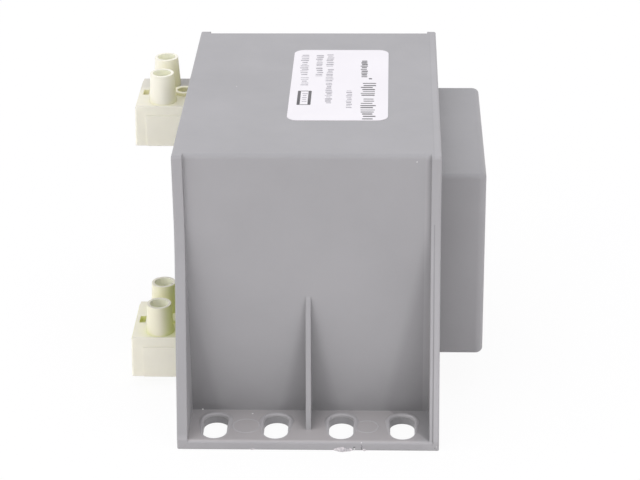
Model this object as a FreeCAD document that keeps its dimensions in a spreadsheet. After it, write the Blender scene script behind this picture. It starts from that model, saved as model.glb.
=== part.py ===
import FreeCAD, Part
import math
import os

import Sketcher

# Potted chassis transformer: moulded case, resin filling, EI core with a
# wound bobbin, and two screw terminal strips on the open, resin-filled side.
# Millimetres. The origin is on the mounting plane, midway between the slots.
# X runs from the terminal side to the coil cover, Y from the front foot to
# the back foot, Z up.

SIZES = {
    # moulded case
    "case_width": 66.0,
    "case_height": 74.0,
    "body_depth": 88.0,
    "wall": 2.5,
    "foot_reach": 15.5,
    "foot_thickness": 2.5,
    "foot_edge_radius": 0.8,
    "fold_radius": 1.2,
    "rim_reach": 1.1,
    "rim_corner_radius": 0.9,
    "rim_edge_radius": 0.5,
    "open_rim": 2.7,
    "closed_rim": 2.4,
    "rim_step_width": 0.85,
    "rim_step_depth": 0.35,
    "bend_drop": 22.0,
    "bend_radius": 48.0,
    "rib_thickness": 1.35,
    "rib_height": 33.0,
    "rib_reach": 9.8,
    # coil cover on the closed side, and its room round the bobbin's flanges
    "cover_wall": 2.2,
    "cover_side_gap": 2.7,
    "cover_end_gap": 3.9,
    "cover_gap": 1.4,
    "cover_lift": 0.4,
    "cover_corner_radius": 2.0,
    "cover_edge_radius": 1.2,
    # mounting slots, long side front to back
    "slot_width": 6.4,
    "slot_length": 12.0,
    "slot_margin": 1.1,
    "slot_side_margin": 9.2,
    "inner_slot_spacing": 16.6,
    # room round the laminated core, and in front of the bobbin for the leads
    "core_headroom": 2.0,
    "core_side_room": 2.5,
    "core_gap": 0.5,
    "lead_room": 20.1,
    # winding former and windings
    "former_gap": 0.3,
    "former_wall": 1.2,
    "former_corner_radius": 1.0,
    "flange_gap": 0.1,
    "flange_lip": 0.5,
    "flange_side_gap": 0.4,
    "winding_gap": 2.5,
    "tape_build": 0.4,
    # resin filling
    "resin_recess": 2.0,
    # terminal strips
    "pole_pitch": 12.5,
    "strip_length": 24.4,
    "strip_side_flare": 0.7,
    "strip_ledge_width": 0.35,
    "strip_ledge_drop": 0.6,
    "strip_shoulder": 1.0,
    "strip_base_height": 11.6,
    "strip_edge_radius": 0.5,
    "web_margin": 2.6,
    "web_drop": 2.8,
    "web_thickness": 0.25,
    "tower_radius": 3.2,
    "tower_draft": 0.5,
    "tower_height": 8.1,
    "tower_bore_radius": 2.45,
    "outer_tower_offset": 5.2,
    "inner_tower_offset": 6.2,
    "fixing_tube_radius": 2.9,
    "fixing_tube_rise": 0.8,
    "fixing_hole_radius": 1.75,
    "key_width": 1.6,
    "key_length": 3.7,
    "key_depth": 1.5,
    "key_margin": 0.9,
    "front_strip_out": 2.2,
    "front_strip_side_room": 14.95,
    "rear_strip_out": 3.5,
    "rear_strip_side_room": 5.55,
    "rear_strip_headroom": 0.3,
    # clamps inside the strips
    "clamp_axis_height": 5.0,
    "clamp_radius": 3.4,
    "clamp_length": 20.0,
    "clamp_stop": 1.0,
    "wire_bore_radius": 2.4,
    "wire_entry_radius": 2.6,
    "screw_radius": 1.5,
    "screw_shank": 4.1,
    "screw_head_radius": 2.0,
    "screw_head_height": 2.8,
    "screw_slot_width": 0.8,
    "screw_slot_depth": 1.0,
    "screw_lift_open": 3.0,
    # leads from the windings to the clamps
    "lead_radius": 0.9,
    "lead_hole_gap": 0.1,
    "lead_bend_radius": 4.0,
    "lead_grip": 4.0,
    "lead_spacing": 4.5,
    "lead_rise": 3.7,
    "lead_turn_gap": 1.1,
    # label on the top
    "label_width": 25.7,
    "label_length": 51.0,
    "label_thickness": 0.15,
    "label_corner_radius": 2.8,
    "label_shift_x": 7.0,
    "label_shift_y": 3.7,
}

doc = FreeCAD.newDocument("potted_transformer")
sheet = doc.addObject("Spreadsheet::Sheet", "sizes")
for row, (name, size) in enumerate(SIZES.items(), start=1):
    sheet.set("A%d" % row, name)
    sheet.set("B%d" % row, str(size))
    sheet.setAlias("B%d" % row, name)
doc.recompute()

SUB_PARTS = []

# How near two lengths must be to count as one, and the largest share of a
# straight run that the bend at its end may take.
TOLERANCE = 1e-6
BEND_SHARE = 0.45

# Lines and planes that several pieces share, as expressions on the sheet.
HALF_WIDTH = "(sizes.case_width / 2)"
HALF_DEPTH = "(sizes.body_depth / 2)"
FOOT_FRONT = "(sizes.body_depth / 2 + sizes.foot_reach)"
INNER_DEPTH = "(sizes.body_depth / 2 - sizes.wall)"

# The core is the largest EI pattern that the case takes: five legs of height
# and six of depth. The stack fills the width behind the room for the leads.
LEG = ("min((sizes.case_height - 2 * sizes.wall - 2 * sizes.core_headroom) / 5;"
       " (sizes.body_depth - 2 * sizes.wall - 2 * sizes.core_side_room) / 6)")
WINDING = ("((" + LEG + " - sizes.former_gap - sizes.former_wall"
           " - 2 * sizes.tape_build - sizes.winding_gap) / 2)")
OVERHANG = ("(sizes.former_gap + sizes.former_wall + 2 * " + WINDING
            + " + 2 * sizes.tape_build + sizes.flange_lip)")
STACK = ("(sizes.case_width - sizes.closed_rim - sizes.core_gap - sizes.lead_room - "
         + OVERHANG + ")")
WINDOW_HEIGHT = "(3 * " + LEG + ")"
CORE_WIDTH = "(6 * " + LEG + ")"
CORE_HEIGHT = "(5 * " + LEG + ")"
CORE_X = ("(sizes.case_width / 2 - sizes.closed_rim - sizes.core_gap - "
          + STACK + " / 2)")
CORE_FLOOR = "((sizes.case_height - 5 * " + LEG + ") / 2)"
WINDOW_FLOOR = "((sizes.case_height - 3 * " + LEG + ") / 2)"
FORMER_HEIGHT = "(3 * " + LEG + " - 2 * sizes.flange_gap)"
FORMER_X = "(" + STACK + " / 2 + sizes.former_gap + sizes.former_wall)"
FORMER_Y = "(" + LEG + " + sizes.former_gap + sizes.former_wall)"
FLANGE_X = "(" + STACK + " / 2 + " + OVERHANG + ")"
FLANGE_Y = "(2 * " + LEG + " - sizes.flange_side_gap)"

COVER_HALF_DEPTH = "(" + FLANGE_Y + " + sizes.cover_side_gap + sizes.cover_wall)"
COVER_HEIGHT = ("(" + FORMER_HEIGHT
                + " + 2 * sizes.cover_end_gap + 2 * sizes.cover_wall)")
COVER_FLOOR = "((sizes.case_height - " + COVER_HEIGHT + ") / 2 + sizes.cover_lift)"
COVER_REACH = ("(" + OVERHANG + " + sizes.cover_gap + sizes.cover_wall"
               " - sizes.closed_rim - sizes.core_gap)")

TOWER_Y = "(sizes.pole_pitch / 2)"
OUTER_TOWER_X = "(-sizes.outer_tower_offset)"
INNER_TOWER_X = "sizes.inner_tower_offset"
STRIP_HALF_DEPTH = "(sizes.pole_pitch / 2 + sizes.tower_radius + sizes.strip_shoulder)"
STRIP_HEIGHT = "(sizes.strip_base_height + sizes.tower_height)"
STRIP_HALF_LENGTH = "(sizes.strip_length / 2)"

FRONT_STRIP = {
    "x": "(-sizes.case_width / 2 - sizes.front_strip_out)",
    "y": "(-" + INNER_DEPTH + " + sizes.front_strip_side_room + " + STRIP_HALF_DEPTH + ")",
    "z": "sizes.foot_thickness",
}
REAR_STRIP = {
    "x": "(-sizes.case_width / 2 - sizes.rear_strip_out)",
    "y": "(" + INNER_DEPTH + " - sizes.rear_strip_side_room - " + STRIP_HALF_DEPTH + ")",
    "z": "(sizes.case_height - sizes.wall - sizes.rear_strip_headroom"
         " - sizes.strip_base_height - sizes.tower_height)",
}


def value(expression):
    """The number that an expression on the sheet stands for."""
    return float(sheet.evalExpression(expression))


def new_body(label, x="0", y="0", z="0"):
    """A body placed by expressions, kept as one sub-part."""
    body = doc.addObject("PartDesign::Body", label)
    body.Label = label
    body.setExpression("Placement.Base.x", x)
    body.setExpression("Placement.Base.y", y)
    body.setExpression("Placement.Base.z", z)
    SUB_PARTS.append(body)
    return body


def new_sketch(body, name, plane, offset="0"):
    """A sketch on an origin plane of its body, moved along the plane's normal."""
    sketch = body.newObject("Sketcher::SketchObject", name)
    support = next(item for item in body.Origin.OriginFeatures if item.Role == plane)
    sketch.AttachmentSupport = [(support, "")]
    sketch.MapMode = "FlatFace"
    sketch.setExpression("AttachmentOffset.Base.z", offset)
    return sketch


def fix_point(sketch, geometry, end, x, y):
    """Hold one point of a sketch at two expressions, or on an axis where one is 0."""
    for kind, expression, axis in (("DistanceX", x, -2), ("DistanceY", y, -1)):
        if near(value(expression), 0):
            sketch.addConstraint(Sketcher.Constraint("PointOnObject", geometry, end, axis))
            continue
        number = sketch.addConstraint(
            Sketcher.Constraint(kind, -1, 1, geometry, end, value(expression)))
        sketch.setExpression("Constraints[%d]" % number, expression)


def draw_outline(sketch, corners):
    """A closed outline of straight sides through corners given as expressions."""
    points = [FreeCAD.Vector(value(x), value(y), 0) for x, y in corners]
    first = sketch.GeometryCount
    for start, end in zip(points, points[1:] + points[:1]):
        sketch.addGeometry(Part.LineSegment(start, end), False)
    for index, (x, y) in enumerate(corners):
        following = first + (index + 1) % len(corners)
        sketch.addConstraint(
            Sketcher.Constraint("Coincident", first + index, 2, following, 1))
        fix_point(sketch, first + index, 1, x, y)


def draw_box(sketch, half_x, low_y, high_y):
    """A rectangle centred across the sketch, between two heights."""
    draw_outline(sketch, [
        ("-" + half_x, low_y),
        (half_x, low_y),
        (half_x, high_y),
        ("-" + half_x, high_y),
    ])


def draw_circle(sketch, x, y, radius):
    """A circle whose centre and radius are expressions."""
    centre = FreeCAD.Vector(value(x), value(y), 0)
    circle = sketch.addGeometry(
        Part.Circle(centre, FreeCAD.Vector(0, 0, 1), value(radius)), False)
    fix_point(sketch, circle, 3, x, y)
    number = sketch.addConstraint(Sketcher.Constraint("Radius", circle, value(radius)))
    sketch.setExpression("Constraints[%d]" % number, radius)


def draw_slot(sketch, x, near_y, far_y, radius):
    """A round-ended slot along the sketch's Y between two arc centres."""
    up = FreeCAD.Vector(0, 0, 1)
    size = value(radius)
    near = FreeCAD.Vector(value(x), value(near_y), 0)
    far = FreeCAD.Vector(value(x), value(far_y), 0)
    side = FreeCAD.Vector(size, 0, 0)
    far_arc = sketch.addGeometry(
        Part.ArcOfCircle(Part.Circle(far, up, size), 0, math.pi), False)
    left = sketch.addGeometry(Part.LineSegment(far - side, near - side), False)
    near_arc = sketch.addGeometry(
        Part.ArcOfCircle(Part.Circle(near, up, size), math.pi, 2 * math.pi), False)
    right = sketch.addGeometry(Part.LineSegment(near + side, far + side), False)
    loop = [far_arc, left, near_arc, right]
    for part, following in zip(loop, loop[1:] + loop[:1]):
        sketch.addConstraint(Sketcher.Constraint("Tangent", part, 2, following, 1))
    sketch.addConstraint(Sketcher.Constraint("Equal", far_arc, near_arc))
    number = sketch.addConstraint(Sketcher.Constraint("Radius", far_arc, size))
    sketch.setExpression("Constraints[%d]" % number, radius)
    fix_point(sketch, far_arc, 3, x, far_y)
    fix_point(sketch, near_arc, 3, x, near_y)


def draw_rounded_box(sketch, half_x, half_y, radius):
    """A rectangle centred on the sketch's origin, its four corners rounded."""
    size = value(radius)
    arcs = []
    for quarter, (side_x, side_y) in enumerate((("", ""), ("-", ""), ("-", "-"), ("", "-"))):
        x = side_x + "(" + half_x + " - " + radius + ")"
        y = side_y + "(" + half_y + " - " + radius + ")"
        circle = Part.Circle(
            FreeCAD.Vector(value(x), value(y), 0), FreeCAD.Vector(0, 0, 1), size)
        start = quarter * math.pi / 2
        arc = Part.ArcOfCircle(circle, start, start + math.pi / 2)
        arcs.append((sketch.addGeometry(arc, False), arc, x, y))
    for (number, arc, x, y), (following, next_arc, _, _) in zip(arcs, arcs[1:] + arcs[:1]):
        line = sketch.addGeometry(Part.LineSegment(arc.EndPoint, next_arc.StartPoint), False)
        sketch.addConstraint(Sketcher.Constraint("Tangent", number, 2, line, 1))
        sketch.addConstraint(Sketcher.Constraint("Tangent", line, 2, following, 1))
        bound = sketch.addConstraint(Sketcher.Constraint("Radius", number, size))
        sketch.setExpression("Constraints[%d]" % bound, radius)
        fix_point(sketch, number, 3, x, y)


def add_pad(body, sketch, length, both_ways=False, backwards=False):
    """Add the sketch's area, by an expression for the length."""
    pad = body.newObject("PartDesign::Pad", sketch.Name + "_pad")
    pad.Profile = sketch
    pad.setExpression("Length", length)
    pad.Midplane = both_ways
    pad.Reversed = backwards
    doc.recompute()
    return pad


def add_pocket(body, sketch, length, both_ways=False, along_normal=False):
    """Remove the sketch's area, by an expression for the depth."""
    before = body.Shape.Volume
    pocket = body.newObject("PartDesign::Pocket", sketch.Name + "_pocket")
    pocket.Profile = sketch
    pocket.setExpression("Length", length)
    pocket.Midplane = both_ways
    pocket.Reversed = along_normal
    doc.recompute()
    if body.Shape.Volume >= before:
        raise ValueError(sketch.Name + " removes nothing")
    return pocket


def edges_where(shape, wanted):
    """Names of the edges whose two ends pass the test."""
    names = []
    for number, edge in enumerate(shape.Edges, start=1):
        ends = [vertex.Point for vertex in edge.Vertexes]
        if len(ends) == 2 and wanted(*ends):
            names.append("Edge%d" % number)
    return names


def round_edges(body, base, name, radius, wanted):
    """Round the edges of a feature that pass the test."""
    fillet = body.newObject("PartDesign::Fillet", name)
    fillet.Base = (base, edges_where(base.Shape, wanted))
    fillet.setExpression("Radius", radius)
    doc.recompute()
    return fillet


def near(first, second):
    return abs(first - second) < TOLERANCE


def upright(start, end):
    """True for a straight edge that runs along Z."""
    return near(start.x, end.x) and near(start.y, end.y)


def rim_outline(sketch, inset):
    """End rim seen along X: upright beside the body, then swept out to each foot.

    The bend between the upright and the sweep is an arc tangent to both. The
    inset sets the swept part back, for the step inside the closed rim.
    """
    top = value("sizes.case_height")
    lip = value(HALF_DEPTH + " + sizes.rim_reach")
    toe = value(FOOT_FRONT) - inset
    toe_height = value("sizes.foot_thickness")
    bend = value("sizes.case_height - sizes.bend_drop")
    turn = math.atan2(toe - lip, bend - toe_height)
    reach = value("sizes.bend_radius") * math.tan(turn / 2)
    centre_y = lip + value("sizes.bend_radius")
    centre_z = bend + reach
    below = FreeCAD.Vector(lip + reach * math.sin(turn), bend - reach * math.cos(turn), 0)
    above = FreeCAD.Vector(lip, centre_z, 0)
    middle_angle = math.pi + turn / 2
    middle = FreeCAD.Vector(
        centre_y + value("sizes.bend_radius") * math.cos(middle_angle),
        centre_z + value("sizes.bend_radius") * math.sin(middle_angle), 0)
    corners = [
        FreeCAD.Vector(toe, 0, 0),
        FreeCAD.Vector(toe, toe_height, 0),
        below,
        above,
        FreeCAD.Vector(lip, top, 0),
    ]
    right = [
        Part.LineSegment(corners[0], corners[1]),
        Part.LineSegment(corners[1], corners[2]),
        Part.Arc(below, middle, above),
        Part.LineSegment(corners[3], corners[4]),
    ]
    mirror = [FreeCAD.Vector(-point.x, point.y, 0) for point in corners]
    left = [
        Part.LineSegment(mirror[4], mirror[3]),
        Part.Arc(mirror[3], FreeCAD.Vector(-middle.x, middle.y, 0), mirror[2]),
        Part.LineSegment(mirror[2], mirror[1]),
        Part.LineSegment(mirror[1], mirror[0]),
    ]
    across = Part.LineSegment(corners[4], mirror[4])
    base = Part.LineSegment(mirror[0], corners[0])
    sketch.addGeometry(right + [across] + left + [base], False)
    for number in range(sketch.GeometryCount):
        sketch.addConstraint(Sketcher.Constraint("Block", number))


def build_case():
    """The one-piece moulding: box, rims, feet, ribs, coil cover and slots."""
    case = new_body("moulded_case")
    width = value(HALF_WIDTH)
    depth = value(HALF_DEPTH)
    height = value("sizes.case_height")
    foot_front = value(FOOT_FRONT)
    foot_top = value("sizes.foot_thickness")
    cover_end = value(HALF_WIDTH + " + " + COVER_REACH)

    box = new_sketch(case, "box_section", "YZ_Plane")
    draw_box(box, HALF_DEPTH, "0", "sizes.case_height")
    add_pad(case, box, "sizes.case_width", both_ways=True)

    feet = new_sketch(case, "foot_outline", "XY_Plane")
    draw_box(feet, HALF_WIDTH, "-" + FOOT_FRONT, FOOT_FRONT)
    solid = add_pad(case, feet, "sizes.foot_thickness")
    solid = round_edges(
        case, solid, "foot_edges", "sizes.foot_edge_radius",
        lambda a, b: near(a.y, b.y) and near(abs(a.y), foot_front)
        and near(a.z, foot_top) and near(b.z, foot_top))
    solid = round_edges(
        case, solid, "top_folds", "sizes.fold_radius",
        lambda a, b: near(a.y, b.y) and near(abs(a.y), depth)
        and near(a.z, height) and near(b.z, height))

    rib = new_sketch(case, "rib_profile", "YZ_Plane")
    for side in ("", "-"):
        draw_outline(rib, [
            (side + HALF_DEPTH, "sizes.foot_thickness"),
            (side + "(sizes.body_depth / 2 + sizes.rib_reach)", "sizes.foot_thickness"),
            (side + HALF_DEPTH, "sizes.foot_thickness + sizes.rib_height"),
        ])
    add_pad(case, rib, "sizes.rib_thickness", both_ways=True)

    open_rim = new_sketch(case, "open_rim_profile", "YZ_Plane", "-" + HALF_WIDTH)
    rim_outline(open_rim, 0)
    add_pad(case, open_rim, "sizes.open_rim")
    closed_rim = new_sketch(case, "closed_rim_profile", "YZ_Plane", HALF_WIDTH)
    rim_outline(closed_rim, 0)
    add_pad(case, closed_rim, "sizes.closed_rim - sizes.rim_step_width", backwards=True)
    step = new_sketch(
        case, "rim_step_profile", "YZ_Plane",
        HALF_WIDTH + " - sizes.closed_rim + sizes.rim_step_width")
    rim_outline(step, value("sizes.rim_step_depth"))
    solid = add_pad(case, step, "sizes.rim_step_width", backwards=True)

    lip = value(HALF_DEPTH + " + sizes.rim_reach")
    solid = round_edges(
        case, solid, "rim_corners", "sizes.rim_corner_radius",
        lambda a, b: near(abs(a.y), lip) and near(abs(b.y), lip)
        and near(a.y, b.y) and near(a.z, height) and near(b.z, height))
    round_edges(
        case, solid, "rim_edges", "sizes.rim_edge_radius",
        lambda a, b: near(abs(a.x), width) and near(a.x, b.x) and max(a.z, b.z) > TOLERANCE)

    cover = new_sketch(case, "cover_section", "YZ_Plane", HALF_WIDTH)
    draw_box(cover, COVER_HALF_DEPTH, COVER_FLOOR, COVER_FLOOR + " + " + COVER_HEIGHT)
    solid = add_pad(case, cover, COVER_REACH)
    solid = round_edges(
        case, solid, "cover_corners", "sizes.cover_corner_radius",
        lambda a, b: upright(a, b) and near(a.x, cover_end))
    solid = round_edges(
        case, solid, "cover_edges", "sizes.cover_edge_radius",
        lambda a, b: near(a.z, b.z) and near(a.x, cover_end) and near(b.x, cover_end))

    cavity = new_sketch(case, "cavity_section", "YZ_Plane", "-" + HALF_WIDTH)
    draw_box(cavity, INNER_DEPTH, "sizes.foot_thickness", "sizes.case_height - sizes.wall")
    add_pocket(case, cavity, "sizes.case_width - sizes.closed_rim", along_normal=True)
    hollow = new_sketch(case, "cover_cavity_section", "YZ_Plane", "-" + HALF_WIDTH)
    draw_box(hollow, "(" + COVER_HALF_DEPTH + " - sizes.cover_wall)",
             COVER_FLOOR + " + sizes.cover_wall",
             COVER_FLOOR + " + " + COVER_HEIGHT + " - sizes.cover_wall")
    add_pocket(case, hollow, "sizes.case_width + " + COVER_REACH + " - sizes.cover_wall",
               along_normal=True)

    slots = new_sketch(case, "slot_outlines", "XY_Plane")
    near_end = "(" + FOOT_FRONT + " - sizes.slot_margin - sizes.slot_width / 2)"
    far_end = ("(" + FOOT_FRONT + " - sizes.slot_margin - sizes.slot_length"
               " + sizes.slot_width / 2)")
    for half_spacing in (
            "(sizes.inner_slot_spacing / 2)",
            "(sizes.case_width / 2 - sizes.slot_side_margin)"):
        for side in ("", "-"):
            column = side + half_spacing
            draw_slot(slots, column, far_end, near_end, "(sizes.slot_width / 2)")
            draw_slot(slots, column, "-" + near_end, "-" + far_end, "(sizes.slot_width / 2)")
    add_pocket(case, slots, "sizes.foot_thickness", along_normal=True)


def build_core():
    """EI laminations: the E stands with its legs up and the I closes them."""
    e_stack = new_body("core_e_stack", CORE_X, "0", CORE_FLOOR)
    profile = new_sketch(e_stack, "e_profile", "YZ_Plane")
    leg_top = "4 * " + LEG
    draw_outline(profile, [
        ("-3 * " + LEG, "0"),
        ("3 * " + LEG, "0"),
        ("3 * " + LEG, leg_top),
        ("2 * " + LEG, leg_top),
        ("2 * " + LEG, LEG),
        (LEG, LEG),
        (LEG, leg_top),
        ("-" + LEG, leg_top),
        ("-" + LEG, LEG),
        ("-2 * " + LEG, LEG),
        ("-2 * " + LEG, leg_top),
        ("-3 * " + LEG, leg_top),
    ])
    add_pad(e_stack, profile, STACK, both_ways=True)

    i_stack = new_body("core_i_stack", CORE_X, "0", CORE_FLOOR)
    bar = new_sketch(i_stack, "i_profile", "YZ_Plane")
    draw_box(bar, "(3 * " + LEG + ")", leg_top, "5 * " + LEG)
    add_pad(i_stack, bar, STACK, both_ways=True)


# Where the four leads drop into the windings, in the core's own X and in Y.
SECONDARY_X = "(-" + FORMER_X + " - 1.5 * " + WINDING + " - sizes.tape_build)"
PRIMARY_X = "(-" + FORMER_X + " - " + WINDING + " / 2)"
FRONT_FAR_Y = "(" + FRONT_STRIP["y"] + " + " + TOWER_Y + ")"
FRONT_NEAR_Y = "(" + FRONT_FAR_Y + " - sizes.lead_spacing)"
REAR_NEAR_Y = "(" + REAR_STRIP["y"] + " - sizes.pole_pitch - sizes.lead_spacing)"
REAR_FAR_Y = "(" + REAR_STRIP["y"] + " - sizes.pole_pitch)"
LEAD_HOLE = "(sizes.lead_radius + sizes.lead_hole_gap)"


def build_former():
    """Bobbin: a square tube on the centre leg, with a flange at each end."""
    former = new_body("bobbin", CORE_X, "0", WINDOW_FLOOR + " + sizes.flange_gap")
    low = new_sketch(former, "low_flange", "XY_Plane")
    draw_box(low, FLANGE_X, "-" + FLANGE_Y, FLANGE_Y)
    add_pad(former, low, "sizes.former_wall")
    high = new_sketch(former, "high_flange", "XY_Plane", FORMER_HEIGHT)
    draw_box(high, FLANGE_X, "-" + FLANGE_Y, FLANGE_Y)
    tube = new_sketch(former, "tube", "XY_Plane")
    draw_box(tube, FORMER_X, "-" + FORMER_Y, FORMER_Y)
    solid = add_pad(former, tube, FORMER_HEIGHT)
    tube_x = value(FORMER_X)
    solid = round_edges(
        former, solid, "tube_corners", "sizes.former_corner_radius",
        lambda a, b: upright(a, b) and near(abs(a.x), tube_x))
    add_pad(former, high, "sizes.former_wall", backwards=True)
    leg = new_sketch(former, "leg_opening", "XY_Plane")
    draw_box(leg, "(" + STACK + " / 2 + sizes.former_gap)",
             "-(" + LEG + " + sizes.former_gap)",
             "(" + LEG + " + sizes.former_gap)")
    add_pocket(former, leg, FORMER_HEIGHT, along_normal=True)
    low_holes = new_sketch(former, "low_lead_holes", "XY_Plane")
    for across in (FRONT_NEAR_Y, FRONT_FAR_Y):
        draw_circle(low_holes, SECONDARY_X, across, LEAD_HOLE)
    add_pocket(former, low_holes, "sizes.former_wall", along_normal=True)
    high_holes = new_sketch(former, "high_lead_holes", "XY_Plane", FORMER_HEIGHT)
    for across in (REAR_NEAR_Y, REAR_FAR_Y):
        draw_circle(high_holes, PRIMARY_X, across, LEAD_HOLE)
    add_pocket(former, high_holes, "sizes.former_wall")


def build_ring(label, inside, outside):
    """One layer round the bobbin's tube, between two build-ups over the tube."""
    ring = new_body(label, CORE_X, "0",
                    WINDOW_FLOOR + " + sizes.flange_gap + sizes.former_wall")
    section = new_sketch(ring, label + "_section", "XY_Plane")
    for build in (outside, inside):
        draw_rounded_box(
            section, "(" + FORMER_X + " + " + build + ")",
            "(" + FORMER_Y + " + " + build + ")",
            "(sizes.former_corner_radius + " + build + ")")
    add_pad(ring, section, FORMER_HEIGHT + " - 2 * sizes.former_wall")


def build_windings():
    """Primary, tape, secondary and outer tape, each wound on the one before."""
    layers = [
        ("primary_winding", WINDING),
        ("interlayer_tape", "sizes.tape_build"),
        ("secondary_winding", WINDING),
        ("outer_tape", "sizes.tape_build"),
    ]
    inside = "0"
    for label, build in layers:
        outside = "(" + inside + " + " + build + ")"
        build_ring(label, inside, outside)
        inside = outside


def base_outline(sketch):
    """A strip's base seen along Y: flared to its floor, with a ledge below its top."""
    flared = "(" + STRIP_HALF_LENGTH + " + sizes.strip_side_flare)"
    ledge = "(" + STRIP_HALF_LENGTH + " + sizes.strip_ledge_width)"
    ledge_height = "(sizes.strip_base_height - sizes.strip_ledge_drop)"
    right = [
        (flared, "0"),
        (ledge, ledge_height),
        (STRIP_HALF_LENGTH, ledge_height),
        (STRIP_HALF_LENGTH, "sizes.strip_base_height"),
    ]
    left = [("-" + x, height) for x, height in reversed(right)]
    draw_outline(sketch, right + left)


def web_outline(sketch):
    """The web left on a strip's two cut ends, seen along Y."""
    draw_box(sketch, "(" + STRIP_HALF_LENGTH + " - sizes.web_margin)", "0",
             "sizes.strip_base_height - sizes.web_drop")


def shape_tower(tower, x, y, z):
    """A screw tower, a little narrower at its mouth than at its foot."""
    tower.setExpression("Radius1", "sizes.tower_radius + sizes.tower_draft")
    tower.setExpression("Radius2", "sizes.tower_radius")
    tower.setExpression("Height", "sizes.tower_height")
    tower.setExpression("Placement.Base.x", x)
    tower.setExpression("Placement.Base.y", y)
    tower.setExpression("Placement.Base.z", z)


def build_strip(side, place):
    """Two-pole strip: base, four screw towers, fixing tube and wire ways."""
    strip = new_body(side + "_terminal_strip", place["x"], place["y"], place["z"])
    base_top = "sizes.strip_base_height"
    base = new_sketch(strip, side + "_base", "XZ_Plane")
    base_outline(base)
    solid = add_pad(strip, base, "2 * " + STRIP_HALF_DEPTH, both_ways=True)
    low_x = value(STRIP_HALF_LENGTH + " + sizes.strip_ledge_width")
    solid = round_edges(
        strip, solid, side + "_base_edges", "sizes.strip_edge_radius",
        lambda a, b: near(a.y, b.y) and not near(a.z, b.z)
        and min(abs(a.x), abs(b.x)) > low_x - TOLERANCE)
    web = new_sketch(strip, side + "_web", "XZ_Plane")
    web_outline(web)
    add_pad(strip, web, "2 * (" + STRIP_HALF_DEPTH + " + sizes.web_thickness)", both_ways=True)

    bores = new_sketch(strip, side + "_tower_bores", "XY_Plane", STRIP_HEIGHT)
    for x in (OUTER_TOWER_X, INNER_TOWER_X):
        for y in (TOWER_Y, "-" + TOWER_Y):
            tower = strip.newObject("PartDesign::AdditiveCone", side + "_tower")
            shape_tower(tower, x, y, base_top)
            draw_circle(bores, x, y, "sizes.tower_bore_radius")
    doc.recompute()
    tube = new_sketch(strip, side + "_fixing_tube", "XY_Plane", base_top)
    draw_circle(tube, "0", "0", "sizes.fixing_tube_radius")
    add_pad(strip, tube, "sizes.fixing_tube_rise")

    add_pocket(strip, bores, STRIP_HEIGHT + " - sizes.clamp_axis_height")
    hole = new_sketch(strip, side + "_fixing_hole", "XY_Plane", STRIP_HEIGHT)
    draw_circle(hole, "0", "0", "sizes.fixing_hole_radius")
    add_pocket(strip, hole, STRIP_HEIGHT)
    keys = new_sketch(strip, side + "_key_recesses", "XY_Plane", base_top)
    key_in = STRIP_HALF_LENGTH + " - sizes.key_margin - sizes.key_width"
    key_out = STRIP_HALF_LENGTH + " - sizes.key_margin"
    for sign in ("", "-"):
        draw_outline(keys, [
            (sign + "(" + key_in + ")", "-sizes.key_length / 2"),
            (sign + "(" + key_out + ")", "-sizes.key_length / 2"),
            (sign + "(" + key_out + ")", "sizes.key_length / 2"),
            (sign + "(" + key_in + ")", "sizes.key_length / 2"),
        ])
    add_pocket(strip, keys, "sizes.key_depth")

    seats = new_sketch(strip, side + "_clamp_seats", "YZ_Plane")
    entries = new_sketch(strip, side + "_wire_entries", "YZ_Plane")
    for y in (TOWER_Y, "-" + TOWER_Y):
        draw_circle(seats, y, "sizes.clamp_axis_height", "sizes.clamp_radius")
        draw_circle(entries, y, "sizes.clamp_axis_height", "sizes.wire_entry_radius")
    add_pocket(strip, seats, "sizes.clamp_length", both_ways=True)
    add_pocket(strip, entries, "2 * (" + STRIP_HALF_LENGTH + " + sizes.strip_side_flare)",
               both_ways=True)


def build_clamp(label, place, y):
    """Brass clamp: a round bar along X, bored from both ends, tapped for two screws."""
    clamp = new_body(label, place["x"], place["y"] + " + " + y,
                     place["z"] + " + sizes.clamp_axis_height")
    bar = new_sketch(clamp, label + "_bar", "YZ_Plane")
    draw_circle(bar, "0", "0", "sizes.clamp_radius")
    add_pad(clamp, bar, "sizes.clamp_length", both_ways=True)
    bore_depth = "(sizes.clamp_length - sizes.clamp_stop) / 2"
    outer = new_sketch(clamp, label + "_outer_bore", "YZ_Plane", "-sizes.clamp_length / 2")
    draw_circle(outer, "0", "0", "sizes.wire_bore_radius")
    add_pocket(clamp, outer, bore_depth, along_normal=True)
    inner = new_sketch(clamp, label + "_inner_bore", "YZ_Plane", "sizes.clamp_length / 2")
    draw_circle(inner, "0", "0", "sizes.wire_bore_radius")
    add_pocket(clamp, inner, bore_depth)
    taps = new_sketch(clamp, label + "_tapped_holes", "XY_Plane", "sizes.clamp_radius")
    for x in (OUTER_TOWER_X, INNER_TOWER_X):
        draw_circle(taps, x, "0", "sizes.screw_radius")
    add_pocket(clamp, taps, "sizes.clamp_radius")


def screw_shape():
    """A slotted clamp screw, its tip at the origin."""
    shank = Part.makeCylinder(value("sizes.screw_radius"), value("sizes.screw_shank"))
    head_floor = FreeCAD.Vector(0, 0, value("sizes.screw_shank"))
    head_height = value("sizes.screw_head_height")
    head_radius = value("sizes.screw_head_radius")
    head = Part.makeCylinder(head_radius, head_height, head_floor)
    slot_width = value("sizes.screw_slot_width")
    slot_depth = value("sizes.screw_slot_depth")
    slot = Part.makeBox(
        2 * head_radius, slot_width, slot_depth,
        FreeCAD.Vector(-head_radius, -slot_width / 2,
                       head_floor.z + head_height - slot_depth))
    return shank.fuse(head).cut(slot).removeSplitter()


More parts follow.
